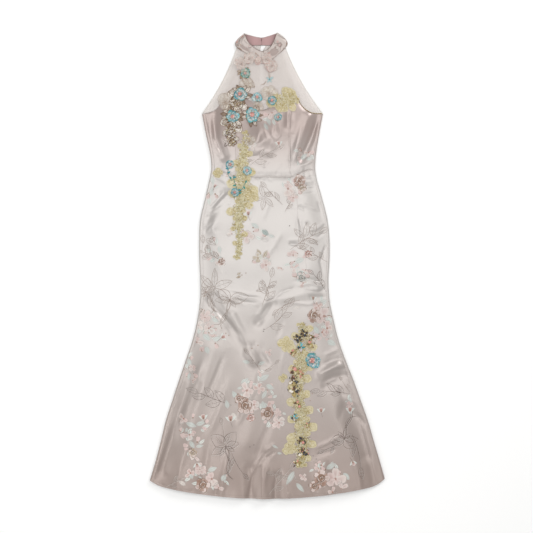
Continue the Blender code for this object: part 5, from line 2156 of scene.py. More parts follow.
@dataclass
class FabricFlower:
    """A cloth flower: cupped petals in two rings, beaded rims and a cluster of pearls."""

    form: Form
    node: str
    x: float
    h: float
    radius: float
    petals: int
    palette: Palette
    uneven: float = 0.0
    rows: int = 7
    columns: int = 8

    def __post_init__(self) -> None:
        """Reads the height and slopes of the flower's back from its own solid and the cloth under it."""
        low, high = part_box(self.node)
        self.tall = (high.z - low.z) / MM
        reach = self.radius * 0.6
        around = np.array([(reach, 0), (-reach, 0), (0, reach), (0, -reach)]) + (self.x, self.h)
        z = self.form.near_height(around[:, 0], around[:, 1])
        self.slope_x = float(z[0] - z[1]) / (2 * reach)
        self.slope_h = float(z[2] - z[3]) / (2 * reach)
        self.lift = low.z / MM + 0.97 * self.radius * math.hypot(self.slope_x, self.slope_h)

    def spot(self, dx: Array, dh: Array, rise: Array) -> Array:
        """Points over the flower's back.

        Args:
            dx: Distances across from its middle.
            dh: Distances up from its middle.
            rise: Heights over the back.

        Returns:
            Points, with x, h and z last.
        """
        z = self.lift + self.slope_x * dx + self.slope_h * dh + rise
        return np.stack([self.x + dx, self.h + dh, z], axis=-1)

    def ring(self, cut: Cut, draw: random.Random, size: float, lift: float, turn: float) -> None:
        """Adds one ring of petals.

        Args:
            cut: The flower.
            draw: Seeded unevenness.
            size: Share of the radius.
            lift: Height of the petals' feet.
            turn: Turn of the ring.
        """
        foot, rim, cord, _ = self.palette.value
        pink = self.palette is Palette.PINK
        tall = self.tall
        reach = self.radius * size
        flecks = (Thread.PEARL, Thread.LAVENDER, Thread.OLD_GOLD, Thread.UMBER)
        rims = (Thread.TURQUOISE, Thread.GREEN, Thread.PEARL, Thread.OLD_GOLD)
        if pink:
            rims = (Thread.CORAL, Thread.PEARL, Thread.ROSE)
        for k in range(self.petals):
            angle = turn + 2 * math.pi * k / self.petals + draw.uniform(-0.2, 0.2)
            paler = draw.uniform(0.0, 0.8)
            inside = blend(foot, Thread.PEARL, draw.uniform(0.0, 0.8))
            other = draw.choice((Thread.SKY, Thread.GREEN, Thread.TURQUOISE, Thread.PEARL))
            outside = blend(rim, other, paler * 0.7)
            if pink:
                inside = blend(Thread.PINK, Thread.LINEN, draw.uniform(0.2, 0.9))
                outside = blend(Thread.PINK, Thread.PEARL, draw.uniform(0.4, 1.0))
            u = np.linspace(0, 1, self.rows)[:, None]
            v = np.linspace(-1, 1, self.columns)[None, :]
            shrink = 1 - self.uneven * (1 - math.cos(angle)) / 2
            length = reach * draw.uniform(0.45 if pink else 0.8, 1.08) * shrink
            half = length * math.pi / self.petals * draw.uniform(0.85, 1.05) * (1.35 if pink else 1.0)
            phase = draw.uniform(0, FULL_TURN)
            wave = np.sin((10 if pink else 8) * v + phase)
            notch = 1 - 0.13 * v * v * u - (0.22 if pink else 0.07) * u * wave
            out = length * (0.12 + 0.88 * u) * notch
            aside = half * v * np.sin(math.pi * np.clip(0.12 + 0.74 * u, 0, 1)) ** 0.6
            step = turned(out, aside, angle)
            cup = 0.16 * tall * v * v + (0.2 if pink else 0.1) * tall * np.sin(v * 7 + phase) * u
            rise = lift + 0.5 * tall * size * u * (1.3 - u) * 1.6 - 0.12 * tall * u**3 + cup
            points = self.spot(step[..., 0], step[..., 1], np.maximum(rise, 0.3))
            share = ease((u - 0.3) / 0.6) * np.ones_like(v)
            edge = np.clip(np.maximum(np.abs(v) ** 3 * u, u**6), 0, 1)
            inner = shaded(inside, outside, share)
            tints = inner + (np.asarray(cord) - inner) * edge[..., None] * (0.4 if pink else 0.75)
            for _ in range(2 if pink else 7):
                row, column = draw.randrange(1, self.rows), draw.randrange(self.columns)
                fleck = Thread.PEARL if pink else draw.choice(flecks)
                tints[row, column] = blend(tuple(tints[row, column]), fleck, 0.75)
            cut.grid(points, tints, 0)
            # The underside copy of each petal is a fifth darker: painted shade.
            cut.grid(points - (0, 0, 0.35), tints * 0.8, 0, flip=True)
            border = smooth_path(np.vstack([points[1:, 0], points[-1, 1:-1], points[:0:-1, -1]]), 2.2)
            for part in np.array_split(np.arange(len(border)), 3):
                tint = blend(draw.choice(rims), outside, 0.25)
                if len(part) > 2:
                    cut.tube(border[part[0] : part[-1] + 2], 0.35 if pink else 0.5, tint, 1, 4)

    def build(self) -> None:
        """Makes the flower."""
        draw = random.Random(int(self.x * 7 + self.h))
        cut = Cut(Finish.ORGANZA if self.palette is Palette.PINK else Finish.PETAL, Finish.CORD, Finish.BEAD)
        tall = self.tall
        start = draw.uniform(0, FULL_TURN)
        if self.palette is Palette.PINK:
            self.ring(cut, draw, 1.5, 0.2, start + 0.9)
            self.ring(cut, draw, 1.28, 0.25, start + 0.4)
        self.ring(cut, draw, 1.12, 0.3, start)
        self.ring(cut, draw, 0.64, 0.26 * tall, start + math.pi / self.petals)
        centre = self.palette.value[3]
        bead = self.radius * (0.09 if self.palette is Palette.PINK else 0.17)
        for k in range(7):
            turn = 2 * math.pi * k / 6
            reach = 0.0 if k == 6 else self.radius * 0.22
            dx, dh = reach * math.cos(turn), reach * math.sin(turn)
            at = self.spot(dx, dh, 0.66 * tall + (0.12 * tall if k == 6 else 0.0))
            other = draw.choice((Thread.PEARL, Thread.ROSE, Thread.UMBER))
            tint = blend(centre, other, draw.uniform(0.0, 0.5))
            cut.ball(at, bead * draw.uniform(0.7, 1.0), tint, 2)
        if self.palette is not Palette.PINK:
            for k in range(self.petals * 2):
                turn = math.pi * k / self.petals + start
                reach = self.radius * 0.38
                at = self.spot(reach * math.cos(turn), reach * math.sin(turn), 0.6 * tall)
                cut.ball(at, 0.8, Thread.PEARL if k % 2 else Thread.TURQUOISE, 2)
        cut.piece(self.node + "_cloth", (self.node,))


@dataclass
class Rosebud(FabricFlower):
    """A rosebud rolled from ribbon, its rolls painted deeper rose at their feet as shade, and a pale winding
    cord over its heart as a painted highlight.
    """

    def build(self) -> None:
        """Makes the rosebud."""
        cut = Cut(Finish.PETAL, Finish.CORD)
        tall = self.tall
        turns = ((1.34, 0.3, 0.4), (1.02, 0.55, 2.3), (0.7, 0.8, 4.2), (0.4, 0.97, 5.6))
        for k, (size, rise, turn) in enumerate(turns):
            angle = turn + np.linspace(0, 5.4, 22)[None, :]
            share = np.linspace(0, 1, 5)[:, None]
            reach = self.radius * size * (1.0 - 0.22 * share**2) * (1 + 0.06 * np.sin(angle * 2 + k))
            dx = reach * np.cos(angle) * 0.82
            dh = reach * np.sin(angle)
            up = 0.4 + tall * rise * np.sin(share * math.pi / 2) * (0.92 + 0.08 * np.sin(angle * 3))
            points = self.spot(dx, dh, up - 0.3)
            # Painted shade: each roll is deeper rose at its foot and paler toward its rim.
            low = blend(Thread.DEEP_ROSE, Thread.PINK, 0.1 + 0.15 * k)
            tints = shaded(low, Thread.PINK, share * np.ones(angle.shape))
            cut.grid(points, tints, 0, flip=True)
            inner = points.copy()
            middle = np.array([self.x, self.h])
            inner[..., :2] = middle + (points[..., :2] - middle) * 0.95
            cut.grid(inner, tints, 0)
        heart = self.spot(0.0, 0.0, tall * 0.45)
        reach = self.radius * 0.86
        cut.ball(heart, reach, blend(Thread.DEEP_ROSE, Thread.PINK, 0.55), 0, 0.7)
        # A pale cord winding over the heart: a painted highlight.
        turn = np.linspace(0, 11, 60)
        away = np.linspace(0.98, 0.1, 60)
        path = np.column_stack([np.cos(turn) * away, np.sin(turn) * away, 0.7 * np.sqrt(1 - away**2)]) * reach
        cut.tube(heart + path + (0, 0, 0.3), 0.9, Thread.PEARL, 1, 5)
        cut.piece(self.node + "_ribbon", (self.node,))


@dataclass
class CordedLace:
    """A lace motif: net ground, overlapping lobes with corded rims, rosettes and sequins."""

    form: Form
    node: str
    lobes: int
    slot: str
    ground: Finish
    fill: Thread
    rim: Thread
    speckle: Thread
    spine: tuple[tuple[float, float, float], ...]
    rim_radius: float = 0.6
    density: float = 0.8
    base_lift: float = 0.4
    cord_lift: float = 0.95
    layer: float = 0.0

    def sides(self, fine: int) -> tuple[Array, Array, Array]:
        """Both sides of the leafy outline, and the spine.

        Args:
            fine: Steps along each lobe.

        Returns:
            Left side, right side and spine, each rows of x and h.
        """
        spine = np.asarray(self.spine, float)
        reach = np.r_[0, np.cumsum(np.hypot(*np.diff(spine[:, :2], axis=0).T))]
        table = np.column_stack([reach, spine])
        s = np.linspace(0, reach[-1], self.lobes * fine + 1)
        x, h, wide = (curve(table, s, c) for c in (1, 2, 3))
        dx, dh = (curve(table, s + 1, c) - curve(table, s - 1, c) for c in (1, 2))
        size = np.hypot(dx, dh)
        found = []
        for sign, phase in ((1, 0.0), (-1, 0.5)):
            wave = np.abs(np.sin(math.pi * (self.lobes * s / reach[-1] + phase)))
            end = np.minimum(s, reach[-1] - s) / wide
            half = wide * (0.68 + 0.36 * wave**0.7)
            half = half * np.sqrt(np.maximum(1 - (1 - np.minimum(end, 1.0)) ** 2, 0))
            half = np.maximum(half, 1.5)
            found.append(np.column_stack([x - sign * half * dh / size, h + sign * half * dx / size]))
        return found[0], found[1], np.column_stack([x, h])

    def corded(self, cut: Cut, points: Array, radius: float, tint: Colour, lift: float = 0.0) -> None:
        """Adds a cord that lies on the cloth along x and h, lifted further where needed."""
        path = self.form.on(smooth_path(points, 2.6), self.cord_lift + lift)
        cut.tube(path, radius, tint, 1, 4)

    def lobe(
        self, cut: Cut, root: Array, angle: float, length: float, width: float, draw: random.Random
    ) -> None:
        """Adds a rounded lobe: a speckled ground, a raised rim and a smaller outline inside it.

        Args:
            cut: The lace.
            root: x and h of its foot.
            angle: Direction, in radians.
            length: Length.
            width: Greatest width.
            draw: Seeded unevenness.
        """
        count = 20
        self.layer = (self.layer + 0.13) % 0.62
        turn = np.linspace(0, 2 * math.pi, count + 1)[:-1]
        along = 0.5 - 0.5 * np.cos(turn) + 0.025 * np.sin(5 * turn + draw.uniform(0, 6))
        wide = 0.5 * np.sin(turn) * (0.5 + 0.5 * along)
        outline = root + turned(length * along, width * wide, angle)
        middle = root + 0.55 * length * heading(angle)
        rings = (0.0, 0.25, 0.5, 0.75, 1.0)
        dome = (0.5, 0.48, 0.4, 0.25, 0.0)
        points, lifts, tints = [middle[None, :]], [np.array([dome[0]])], []
        for share, rise in zip(rings[1:], dome[1:]):
            points.append(middle + (outline - middle) * share)
            lifts.append(np.full(count, rise))
        for _ in range(1 + 4 * count):
            speck = blend(self.fill, self.speckle, draw.uniform(0.0, 1.0) ** 3)
            tints.append(blend(speck, Thread.PEARL, draw.uniform(0.0, 0.5)))
        lift = self.base_lift + self.layer + np.concatenate(lifts)
        slot = 1 if self.ground is Finish.GOLD_NET else 0
        cut.add(self.form.on(np.vstack(points), lift), disc(count, len(rings) - 2), np.asarray(tints), slot)
        edge = np.vstack([outline, outline[:1]])
        self.corded(cut, edge, self.rim_radius, self.rim, self.layer - 0.3)
        inner = middle + (edge - middle) * 0.66
        dark = self.rim in (Thread.BRONZE, Thread.UMBER)
        inner_tint = Thread.UMBER if dark else blend(self.speckle, self.fill, 0.4)
        self.corded(cut, inner, 0.55 if dark else 0.4, inner_tint, self.layer - 0.1)
        for k in range(3):
            start = middle + (outline[(5 * k + 4) % count] - middle) * 0.6
            vein = np.vstack([root, 0.5 * (root + middle), start])
            self.corded(cut, vein, 0.38, blend(self.speckle, self.fill, 0.3), self.layer - 0.1)

    def rosette(
        self, cut: Cut, centre: Array, radius: float, loops: int, tint: Colour, bead: Colour
    ) -> None:
        """Adds a ring of small loops round a bead.

        Args:
            cut: The lace.
            centre: x and h of its middle.
            radius: Its radius.
            loops: Number of loops.
            tint: Colour of its cord.
            bead: Colour of its bead.
        """
        for k in range(loops):
            angle = 2 * math.pi * k / loops + centre[0]
            self.corded(cut, Leaf.grown(centre, angle, radius, radius * 0.62, 0.0, 7).loop(), 0.6, tint, 0.7)
        cut.ball(self.form.spot(centre, self.cord_lift + 1.3), 1.7, bead, 3, 0.8)

    def build(self) -> None:
        """Makes the lace."""
        draw = random.Random(len(self.node) * 31 + self.lobes)
        cut = Cut(self.ground, Finish.CORD, Finish.SEQUIN, Finish.BEAD)
        left, right, middle = self.sides(12)
        across = np.linspace(0, 1, 9)[None, :, None]
        low, high = middle + (left - middle) * 0.5, middle + (right - middle) * 0.5
        flat = low[:, None, :] + (high - low)[:, None, :] * across
        z = self.form.near_height(flat[..., 0], flat[..., 1])
        cut.grid(np.concatenate([flat, (z + self.base_lift)[..., None]], axis=-1), self.fill)
        count = len(middle) - 1
        way = np.gradient(middle, axis=0)
        for rim, start in ((left, 0.5), (right, 0.0)):
            for k in range(2 * self.lobes + 1):
                place = int(min(max(round((k / 2 + start) * 12), 2), count - 2))
                peak = 1.0 if k % 2 == 0 else 0.8
                out = rim[place] - middle[place]
                reach = float(np.hypot(*out)) * peak * draw.uniform(0.92, 1.24)
                angle = math.atan2(out[1], out[0]) + draw.uniform(-0.4, 0.4)
                root = middle[place] + 0.12 * out
                self.lobe(cut, root, angle, max(reach, 7.0), max(reach, 9.0) * draw.uniform(0.74, 1.0), draw)
        for place, sign in ((3, -1), (count - 3, 1)):
            angle = math.atan2(sign * way[place][1], sign * way[place][0])
            self.lobe(cut, middle[place], angle, 12.0, 12.0, draw)
        for k in range(self.lobes):
            place = int((k + 0.5) * 12)
            size = float(np.hypot(*(left[place] - middle[place]))) * 0.3
            bead = (Thread.PEARL, Thread.OLD_GOLD, Thread.BRONZE)[k % 3]
            self.rosette(cut, middle[place], max(size, 5.0), 5 + k % 2, self.rim, bead)
        self.sequins(cut, left, right, draw)
        cut.piece(self.node + "_work", (self.node,))

    def sequins(self, cut: Cut, left: Array, right: Array, draw: random.Random) -> None:
        """Scatters sequins and seed beads over the ground.

        Args:
            cut: The lace.
            left: Left side of the outline.
            right: Right side of the outline.
            draw: Seeded unevenness.
        """
        widths = np.hypot(*(right - left).T)
        step = float(np.hypot(*(left[1] - left[0])))
        shades = (self.fill, self.rim, self.speckle, Thread.PALE_GOLD, Thread.PEARL, Thread.OLD_GOLD)
        if self.ground is Finish.BRONZE_NET:
            shades = (self.rim, Thread.UMBER, Thread.PEARL, Thread.OLD_GOLD, Thread.UMBER, Thread.GOLD)
        for j in range(1, len(left) - 1):
            count = widths[j] * max(step, 2.0) * 0.045 * self.density
            for _ in range(int(count + draw.random())):
                share = draw.uniform(0.14, 0.86)
                at = left[j] + (right[j] - left[j]) * share + (draw.uniform(-2, 2), draw.uniform(-2, 2))
                point = self.form.spot(at, self.cord_lift + draw.uniform(0.2, 0.9))
                tint = shades[draw.randrange(len(shades))]
                if draw.random() < 0.7:
                    lean = (draw.uniform(-0.35, 0.35), draw.uniform(-0.35, 0.35))
                    cut.sequin(point, draw.uniform(1.2, 1.9), lean, tint, 2)
                else:
                    cut.ball(point, draw.uniform(0.7, 1.1), tint, 3)


# Slot, ground, fill, rim and speckle of the gold lace.
GOLD_WORK = ("gold_lace", Finish.GOLD_NET, Thread.GOLD, Thread.PALE_GOLD, Thread.OLD_GOLD)

# Groups of lobes: name, slot, ground, fill, rim, speckle, and rings of middle, reach, lobes and turn.
LOBE_GROUPS = (
    (
        *("pearl_lobes", "gold_lace", Finish.PEARL_NET, Thread.PEARL, Thread.TAUPE, Thread.BRONZE),
        (
            *((269, 94, 8.5, 6, 10), (247, 84, 7.0, 5, 40), (226, 103, 9.0, 6, 0)),
            *((258, 107, 6.0, 5, 30), (249, 141, 6.5, 5, 20), (308, 342, 8.0, 6, 20)),
        ),
    ),
    (
        *("small_gold_lobes", *GOLD_WORK),
        (
            *((218, 174, 5.5, 5, 15), (290, 96, 7.6, 8, 0), (281, 108, 6.0, 6, 60), (272, 104, 5.4, 5, 20)),
            *((252, 196, 8.0, 6, 20), (287, 344, 9.0, 5, 20), (290, 447, 8.0, 5, 0), (283, 377, 5.0, 4, 0)),
        ),
    ),
)


class Cluster(Enum):
    """Threads of a cluster of beads on the skirt's lace."""

    DARK = (Thread.JET, Thread.JET, Thread.UMBER, Thread.PEARL)
    WARM = (Thread.OLD_GOLD, Thread.CORAL, Thread.UMBER, Thread.PALE_GOLD)
    MIXED = (Thread.JET, Thread.UMBER, Thread.PEARL, Thread.OLD_GOLD, Thread.CORAL)
    BLUE = (Thread.TURQUOISE, Thread.SKY, Thread.JET, Thread.LAVENDER)


# Clusters of beads: middle and size in the frame, and threads.
CLUSTERS = (
    (304, 333, 4.5, Cluster.DARK), (297.5, 338, 4.5, Cluster.DARK), (301, 347, 5, Cluster.BLUE),
    (310, 344, 4.5, Cluster.WARM), (312, 337, 3.5, Cluster.MIXED), (295, 371, 6, Cluster.WARM),
    (300, 373, 4.5, Cluster.WARM), (293, 381, 6.5, Cluster.MIXED), (294, 391, 6.5, Cluster.MIXED),
    (297, 403, 4.5, Cluster.WARM), (294, 417, 4.5, Cluster.BLUE), (302, 440, 5, Cluster.DARK),
    (303, 453, 6.5, Cluster.MIXED), (297, 462, 4.5, Cluster.WARM), (293, 352, 4, Cluster.WARM),
    (307, 424, 3, Cluster.WARM),
)


@dataclass
class Trimmings:
    """Beaded sprigs and edges that lie between the lace pieces."""

    form: Form

    def build(self) -> None:
        """Makes the lobes, bronze leaves, beaded edge, sprigs, stems and bead clusters."""
        self.lobes()
        self.bronze_leaves()
        self.beaded_edge()
        self.yoke_sprigs()
        self.waist_stems()
        self.column_beads()

    def cord(
        self, cut: Cut, points: Array, step: float, lift: float, radius: float, tint: Colour, sides: int = 5
    ) -> None:
        """Adds a cord that lies at a lift over the cloth, with a point every step."""
        cut.tube(self.form.on(smooth_path(points, step), lift), radius, tint, 0, sides)

    def leafy(
        self, cut: Cut, centre: Point, radius: float, leaves: int, tint: Colour, draw: random.Random
    ) -> None:
        """Adds a ring of small beaded leaves round a place.

        Args:
            cut: The trimming.
            centre: x and h of the middle.
            radius: Distance of the leaves' tips.
            leaves: Number of leaves.
            tint: Colour.
            draw: Seeded unevenness.
        """
        for k in range(leaves):
            angle = 2 * math.pi * k / leaves + draw.uniform(-0.2, 0.2)
            root = np.asarray(centre) + radius * 0.5 * heading(angle)
            length = radius * draw.uniform(0.5, 0.8)
            leaf = Leaf.grown(root, angle + draw.uniform(-0.4, 0.4), length, length * 0.5, 0.3, 7)
            pale = blend(Thread.LINEN, Thread.PEARL, draw.uniform(0.0, 1.0))
            cut.grid(leaf.laid(self.form, 1.3, 2.0), pale if k % 3 else blend(tint, Thread.LINEN, 0.3))
            self.cord(cut, leaf.loop(), 2.2, 2.0, 0.7, tint)
            self.cord(cut, leaf.vein, 2.2, 2.0, 0.45, tint)
            for bead in (2, 4):
                cut.ball(self.form.spot(leaf.vein[bead], 2.6), 1.0, blend(tint, Thread.OLD_GOLD, 0.5), 1)

    def bronze_leaves(self) -> None:
        """Makes the bronze leaves behind the bust flowers and down the left of the bodice."""
        cut = Cut(Finish.CORD, Finish.BEAD)
        draw = random.Random(21)
        for centre, radius, leaves in (((-86, 1300), 34, 11), ((-112, 1228), 33, 13), ((-46, 1232), 31, 9)):
            self.leafy(cut, centre, radius, leaves, blend(Thread.BRONZE, Thread.UMBER, 0.5), draw)
        for across, down, size in ((228, 132, 7), (234, 137, 6), (229, 143, 6), (236, 127, 6), (226, 124, 6)):
            centre = self.form.at(across, down)
            for k, tint in enumerate((Thread.UMBER, Thread.BRONZE, Thread.PEARL)):
                leaf = Leaf.grown(centre, draw.uniform(0, FULL_TURN), size * UNIT, size * 1.5, 0.6, 8)
                self.cord(cut, leaf.loop(), 2.4, 2.1 + 0.3 * k, 0.7, tint)
        cut.piece("bronze_leaf_trim")

    def lobes(self) -> None:
        """Makes the pearl and gold lobes of lace round the bust flowers and beside the waist."""
        draw = random.Random(40)
        for name, slot, ground, fill, rim, speckle, rings in LOBE_GROUPS:
            cut = Cut(ground, Finish.CORD)
            brush = CordedLace(self.form, name, 1, slot, ground, fill, rim, speckle, (), 0.5)
            for across, down, reach, count, start in rings:
                centre = self.form.at(across, down)
                for k in range(count):
                    angle = math.radians(start) + 2 * math.pi * k / count + draw.uniform(-0.2, 0.2)
                    length = reach * UNIT * draw.uniform(0.75, 1.1)
                    brush.lobe(cut, centre, angle, length, length * draw.uniform(1.0, 1.35), draw)
            cut.piece(name)

    def beaded_edge(self) -> None:
        """Makes the beaded edge along the right of the satin's upper edge."""
        cut = Cut(Finish.BEAD, Finish.CORD)
        draw = random.Random(8)
        x = np.linspace(97, 177, 40)
        path = np.column_stack([x, self.form.top_edge(x) + 0.5])
        cut.tube(self.form.on(path, 0.8), 0.7, Thread.BRONZE, 1)
        for k, place in enumerate(path):
            at = self.form.spot(place + (0, draw.uniform(-0.8, 0.8)), 1.6)
            cut.ball(at, draw.uniform(0.9, 1.4), (Thread.OLD_GOLD, Thread.BRONZE, Thread.GOLD)[k % 3])
        cut.piece("beaded_top_edge")

    def yoke_sprigs(self) -> None:
        """Makes the pearl leaf, the bronze sprig, the ribbon bow and the pale lace on the yoke."""
        cut = Cut(Finish.CORD, Finish.BEAD, Finish.PETAL)
        draw = random.Random(14)
        form = self.form
        for angle, length, width in ((-0.75, 52, 24), (-1.1, 44, 16)):
            leaf = Leaf.grown(form.at(243, 77), angle, length, width, 0.0, 10)
            self.cord(cut, leaf.loop(), 2.6, 1.0, 0.7, Thread.TAUPE)
            self.cord(cut, leaf.vein, 2.6, 1.0, 0.7, Thread.TAUPE)
            for left, right, vein in zip(leaf.left[1:9], leaf.right[1:9], leaf.vein[1:9]):
                for rim, share in ((left, 0.55), (right, 0.0), (right, 0.55)):
                    at = vein + (rim - vein) * share
                    cut.ball(form.spot(at, 1.3), draw.uniform(0.9, 1.4), Thread.PEARL, 1)
        self.leafy(cut, form.at(244, 73), 21, 9, Thread.BRONZE, draw)
        bow = form.at(269.5, 80)
        for angle, length, width in ((0.5, 15, 8), (2.5, 12, 7), (-1.0, 12, 5), (-2.2, 13, 5)):
            band = Leaf.grown(bow, angle, length, width, 0.2, 7).laid(form, 1.0, 1.9)
            cut.grid(band, blend(Thread.TURQUOISE, Thread.PEARL, 0.45), 2)
        cut.ball(form.spot(bow, 1.8), 2.0, Thread.TURQUOISE, 1)
        for radius, tint, path in (
            (0.5, Thread.TAUPE, ((268, 66), (268.5, 73), (269.5, 79))),
            (0.5, Thread.TAUPE, ((271, 66), (270, 72), (270, 79))),
            (0.6, Thread.BRONZE, ((261, 85.5), (264, 84.5), (266, 82))),
        ):
            self.cord(cut, [form.at(*place) for place in path], 3.0, 0.7, radius, tint)
        for k in range(5):
            middle = form.at(263 + 2.6 * k, 92.5 - 1.6 * math.sin(k))
            for angle in np.linspace(0.3, 2.9, 4):
                loop = Leaf.grown(middle, angle, 12, 7, 0.0, 7).loop()
                self.cord(cut, loop, 2.4, 1.0, 0.5, Thread.PEARL, 4)
        cut.piece("yoke_sprigs")

    def waist_stems(self) -> None:
        """Makes the teal stems and small leaves below the waist flowers."""
        cut = Cut(Finish.CORD, Finish.BEAD)
        draw = random.Random(52)
        for places in (
            ((233, 176), (235, 183), (238, 192)),
            ((246, 182), (243, 188), (238, 195)),
            ((229, 168), (228, 174), (232, 181)),
        ):
            path = smooth_path([self.form.at(*place) for place in places], 2.6)
            cut.tube(self.form.on(path, 2.3), 0.8, Thread.GREEN)
            for k in range(4):
                root = path[int((k + 0.5) * len(path) / 4)]
                leaf = Leaf.grown(root, draw.uniform(0, FULL_TURN), 10.0, 5.5, 0.4, 6)
                tint = draw.choice((Thread.TURQUOISE, Thread.GREEN, Thread.PINK))
                cut.grid(leaf.laid(self.form, 2.0, 2.8), tint)
        cut.piece("waist_stems")

    def column_beads(self) -> None:
        """Makes the darker beaded clusters on the skirt's lace."""
        cut = Cut(Finish.CORD, Finish.BEAD)
        draw = random.Random(33)
        for across, down, size, cluster in CLUSTERS:
            threads = cluster.value
            centre = self.form.at(across, down)
            reach = size * UNIT
            for k in range(4):
                angle = 2 * math.pi * k / 4 + draw.uniform(-0.5, 0.5)
                length = reach * draw.uniform(0.8, 1.0)
                leaf = Leaf.grown(centre, angle, length, length * 0.7, 0.3, 7)
                cut.grid(leaf.laid(self.form, 1.8, 2.6), threads[k % len(threads)])
                self.cord(cut, leaf.loop(), 2.2, 2.3, 0.6, Thread.OLD_GOLD)
            for _ in range(int(size * 3.6)):
                angle, away = draw.uniform(0, FULL_TURN), reach * math.sqrt(draw.random())
                at = self.form.spot(centre + away * heading(angle), 3.2)
                tint = threads[draw.randrange(len(threads))]
                cut.ball(at, draw.uniform(1.2, 2.5), tint, 1, 0.8)
        cut.piece("lace_bead_clusters")


@dataclass
class SewnStone:
    """A faceted stone in a ring of seed beads."""

    node: str
    x: float
    h: float
    radius: float
    thread: Thread
    slot: str

    def build(self) -> None:
        """Makes the stone and its beads."""
        low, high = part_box(self.node)
        base, tall = low.z / MM, (high.z - low.z) / MM
        cut = Cut(Finish.STONE, Finish.BEAD)
        around = 8
        points = []
        for share, rise in ((0.98, 0.1), (0.98, 0.42), (0.6, 0.97)):
            for i in range(around):
                turn = 2 * math.pi * (i + (0.5 if rise > 0.9 else 0.0)) / around
                x, h = np.array([self.x, self.h]) + self.radius * share * heading(turn)
                points.append((x, h, base + tall * rise))
        faces = [tuple(range(around))[::-1], tuple(2 * around + i for i in range(around))]
        for i in range(around):
            after = (i + 1) % around
            faces.append((i, after, around + after, around + i))
            faces.append((around + i, around + after, 2 * around + i))
            faces.append((around + after, 2 * around + after, 2 * around + i))
        cut.add(np.asarray(points), faces, self.thread)
        for k in range(12):
            x, h = np.array([self.x, self.h]) + 1.12 * self.radius * heading(2 * math.pi * k / 12)
            cut.ball((x, h, base + 0.9), 0.95, Thread.OLD_GOLD, 1)
        made = cut.piece(self.node + "_cut", (self.node,))
        made.data.polygons.foreach_set("use_smooth", [False] * len(made.data.polygons))


@dataclass
class Stitching:
    """Thread of the hem, the waist and the lengthwise seams, one stitch after another."""

    form: Form
    stitch: float = 3.0
    gap: float = 1.0
    radius: float = 0.28

    def sew(self, cut: Cut, x: Array, h: Array) -> None:
        """Adds stitches along a line.

        Args:
            cut: The stitching.
            x: Places of the line across.
            h: Places of the line up.
        """
        reach = np.r_[0, np.cumsum(np.hypot(np.diff(x), np.diff(h)))]
        for start in np.arange(0, reach[-1] - self.stitch, self.stitch + self.gap):
            at = start + np.array([0.0, 0.5, 1.0]) * self.stitch
            points = np.column_stack([np.interp(at, reach, x), np.interp(at, reach, h)])
            cut.tube(self.form.on(points, np.array([-0.15, 0.3, -0.15])), self.radius, Thread.STITCH, 0, 4)

    def build(self) -> None:
        """Makes all stitching."""
        form = self.form
        cut = Cut(Finish.THREAD)
        x = np.linspace(-352, 352, 200)
        self.sew(cut, x, form.hem(x) + 8.5)
        cut.piece("hem_stitching")
        cut = Cut(Finish.THREAD)
        x = np.linspace(-165, 146, 100)
        for away in (-3.4, 3.4):
            self.sew(cut, x, form.waist(x) + away)
        # A continuous cord sunk in the waist seam, in the stitching's colour: a painted shadow line along the
        # seam.
        cut.tube(form.on(np.column_stack([x, form.waist(x)]), -0.5), 0.35, Thread.STITCH, 0, 4)
        h = np.linspace(1064, 1236, 60)
        for side in (-1, 1):
            for away in (-3.0, 3.0):
                self.sew(cut, form.princess(side, h) + away, h)
        h = np.linspace(1240, 1284, 20)
        for away in (-4.0, 4.0):
            self.sew(cut, form.princess(1, h) + away, h - 6)
        cut.piece("bodice_stitching_and_seam_shadow")
        cut = Cut(Finish.THREAD)
        h = np.linspace(60, 1020, 300)
        for side in (-1, 1):
            self.sew(cut, form.side_seam(side, h) - side * 2.6, h)
        h = np.linspace(720, 1028, 120)
        self.sew(cut, form.princess(1, h) + 2.8, h)
        cut.piece("side_seam_stitching")


# Fabric flowers: node, x, h, radius, petals, colours, unevenness.
FLOWERS = (
    ('bust_flower_1', -87, 1302, 20, 6, Palette.BRIGHT),
    ('bust_flower_2', -32, 1292, 15, 6, Palette.TURQUOISE),
    ('bust_flower_3', 16, 1281, 14, 5, Palette.BRIGHT),
    ('bust_flower_4', -110, 1227, 20, 7, Palette.TURQUOISE),
    ('bust_flower_5', -48, 1234, 23, 7, Palette.TURQUOISE),
    ('bust_flower_6', 35, 1226, 11, 5, Palette.BRIGHT), ('yoke_flower', -70, 1370, 15, 6, Palette.GREEN),
    ('waist_flower_1', -118, 1076, 13, 5, Palette.BRIGHT),
    ('waist_flower_2', -64, 1056, 13, 5, Palette.TURQUOISE),
    ('hip_flower', -104, 985, 13, 5, Palette.BRIGHT),
    ('skirt_flower', 145, 446, 27, 7, Palette.BRIGHT, 0.14),
    ('collar_flower_1', -83, 1401, 14.5, 5, Palette.PINK),
    ('collar_flower_2', -55, 1417, 12.5, 5, Palette.PINK),
    ('collar_flower_3', -2, 1415, 12.5, 5, Palette.PINK),
    ('collar_flower_4', 14, 1393, 12.5, 5, Palette.PINK),
)

# Stones: node, x, h, radius, colour, slot.
STONES = (
    ('stone_1', 121, 527, 5, Thread.JET, 'jet_stone'), ('stone_2', 98, 511, 5, Thread.JET, 'jet_stone'),
    ('stone_3', 104, 298, 4.5, Thread.CORAL, 'coral_stone'),
    ('stone_4', 116, 182, 5, Thread.CORAL, 'coral_stone'),
    ('stone_5', 119, 150, 4.5, Thread.JET, 'jet_stone'),
)

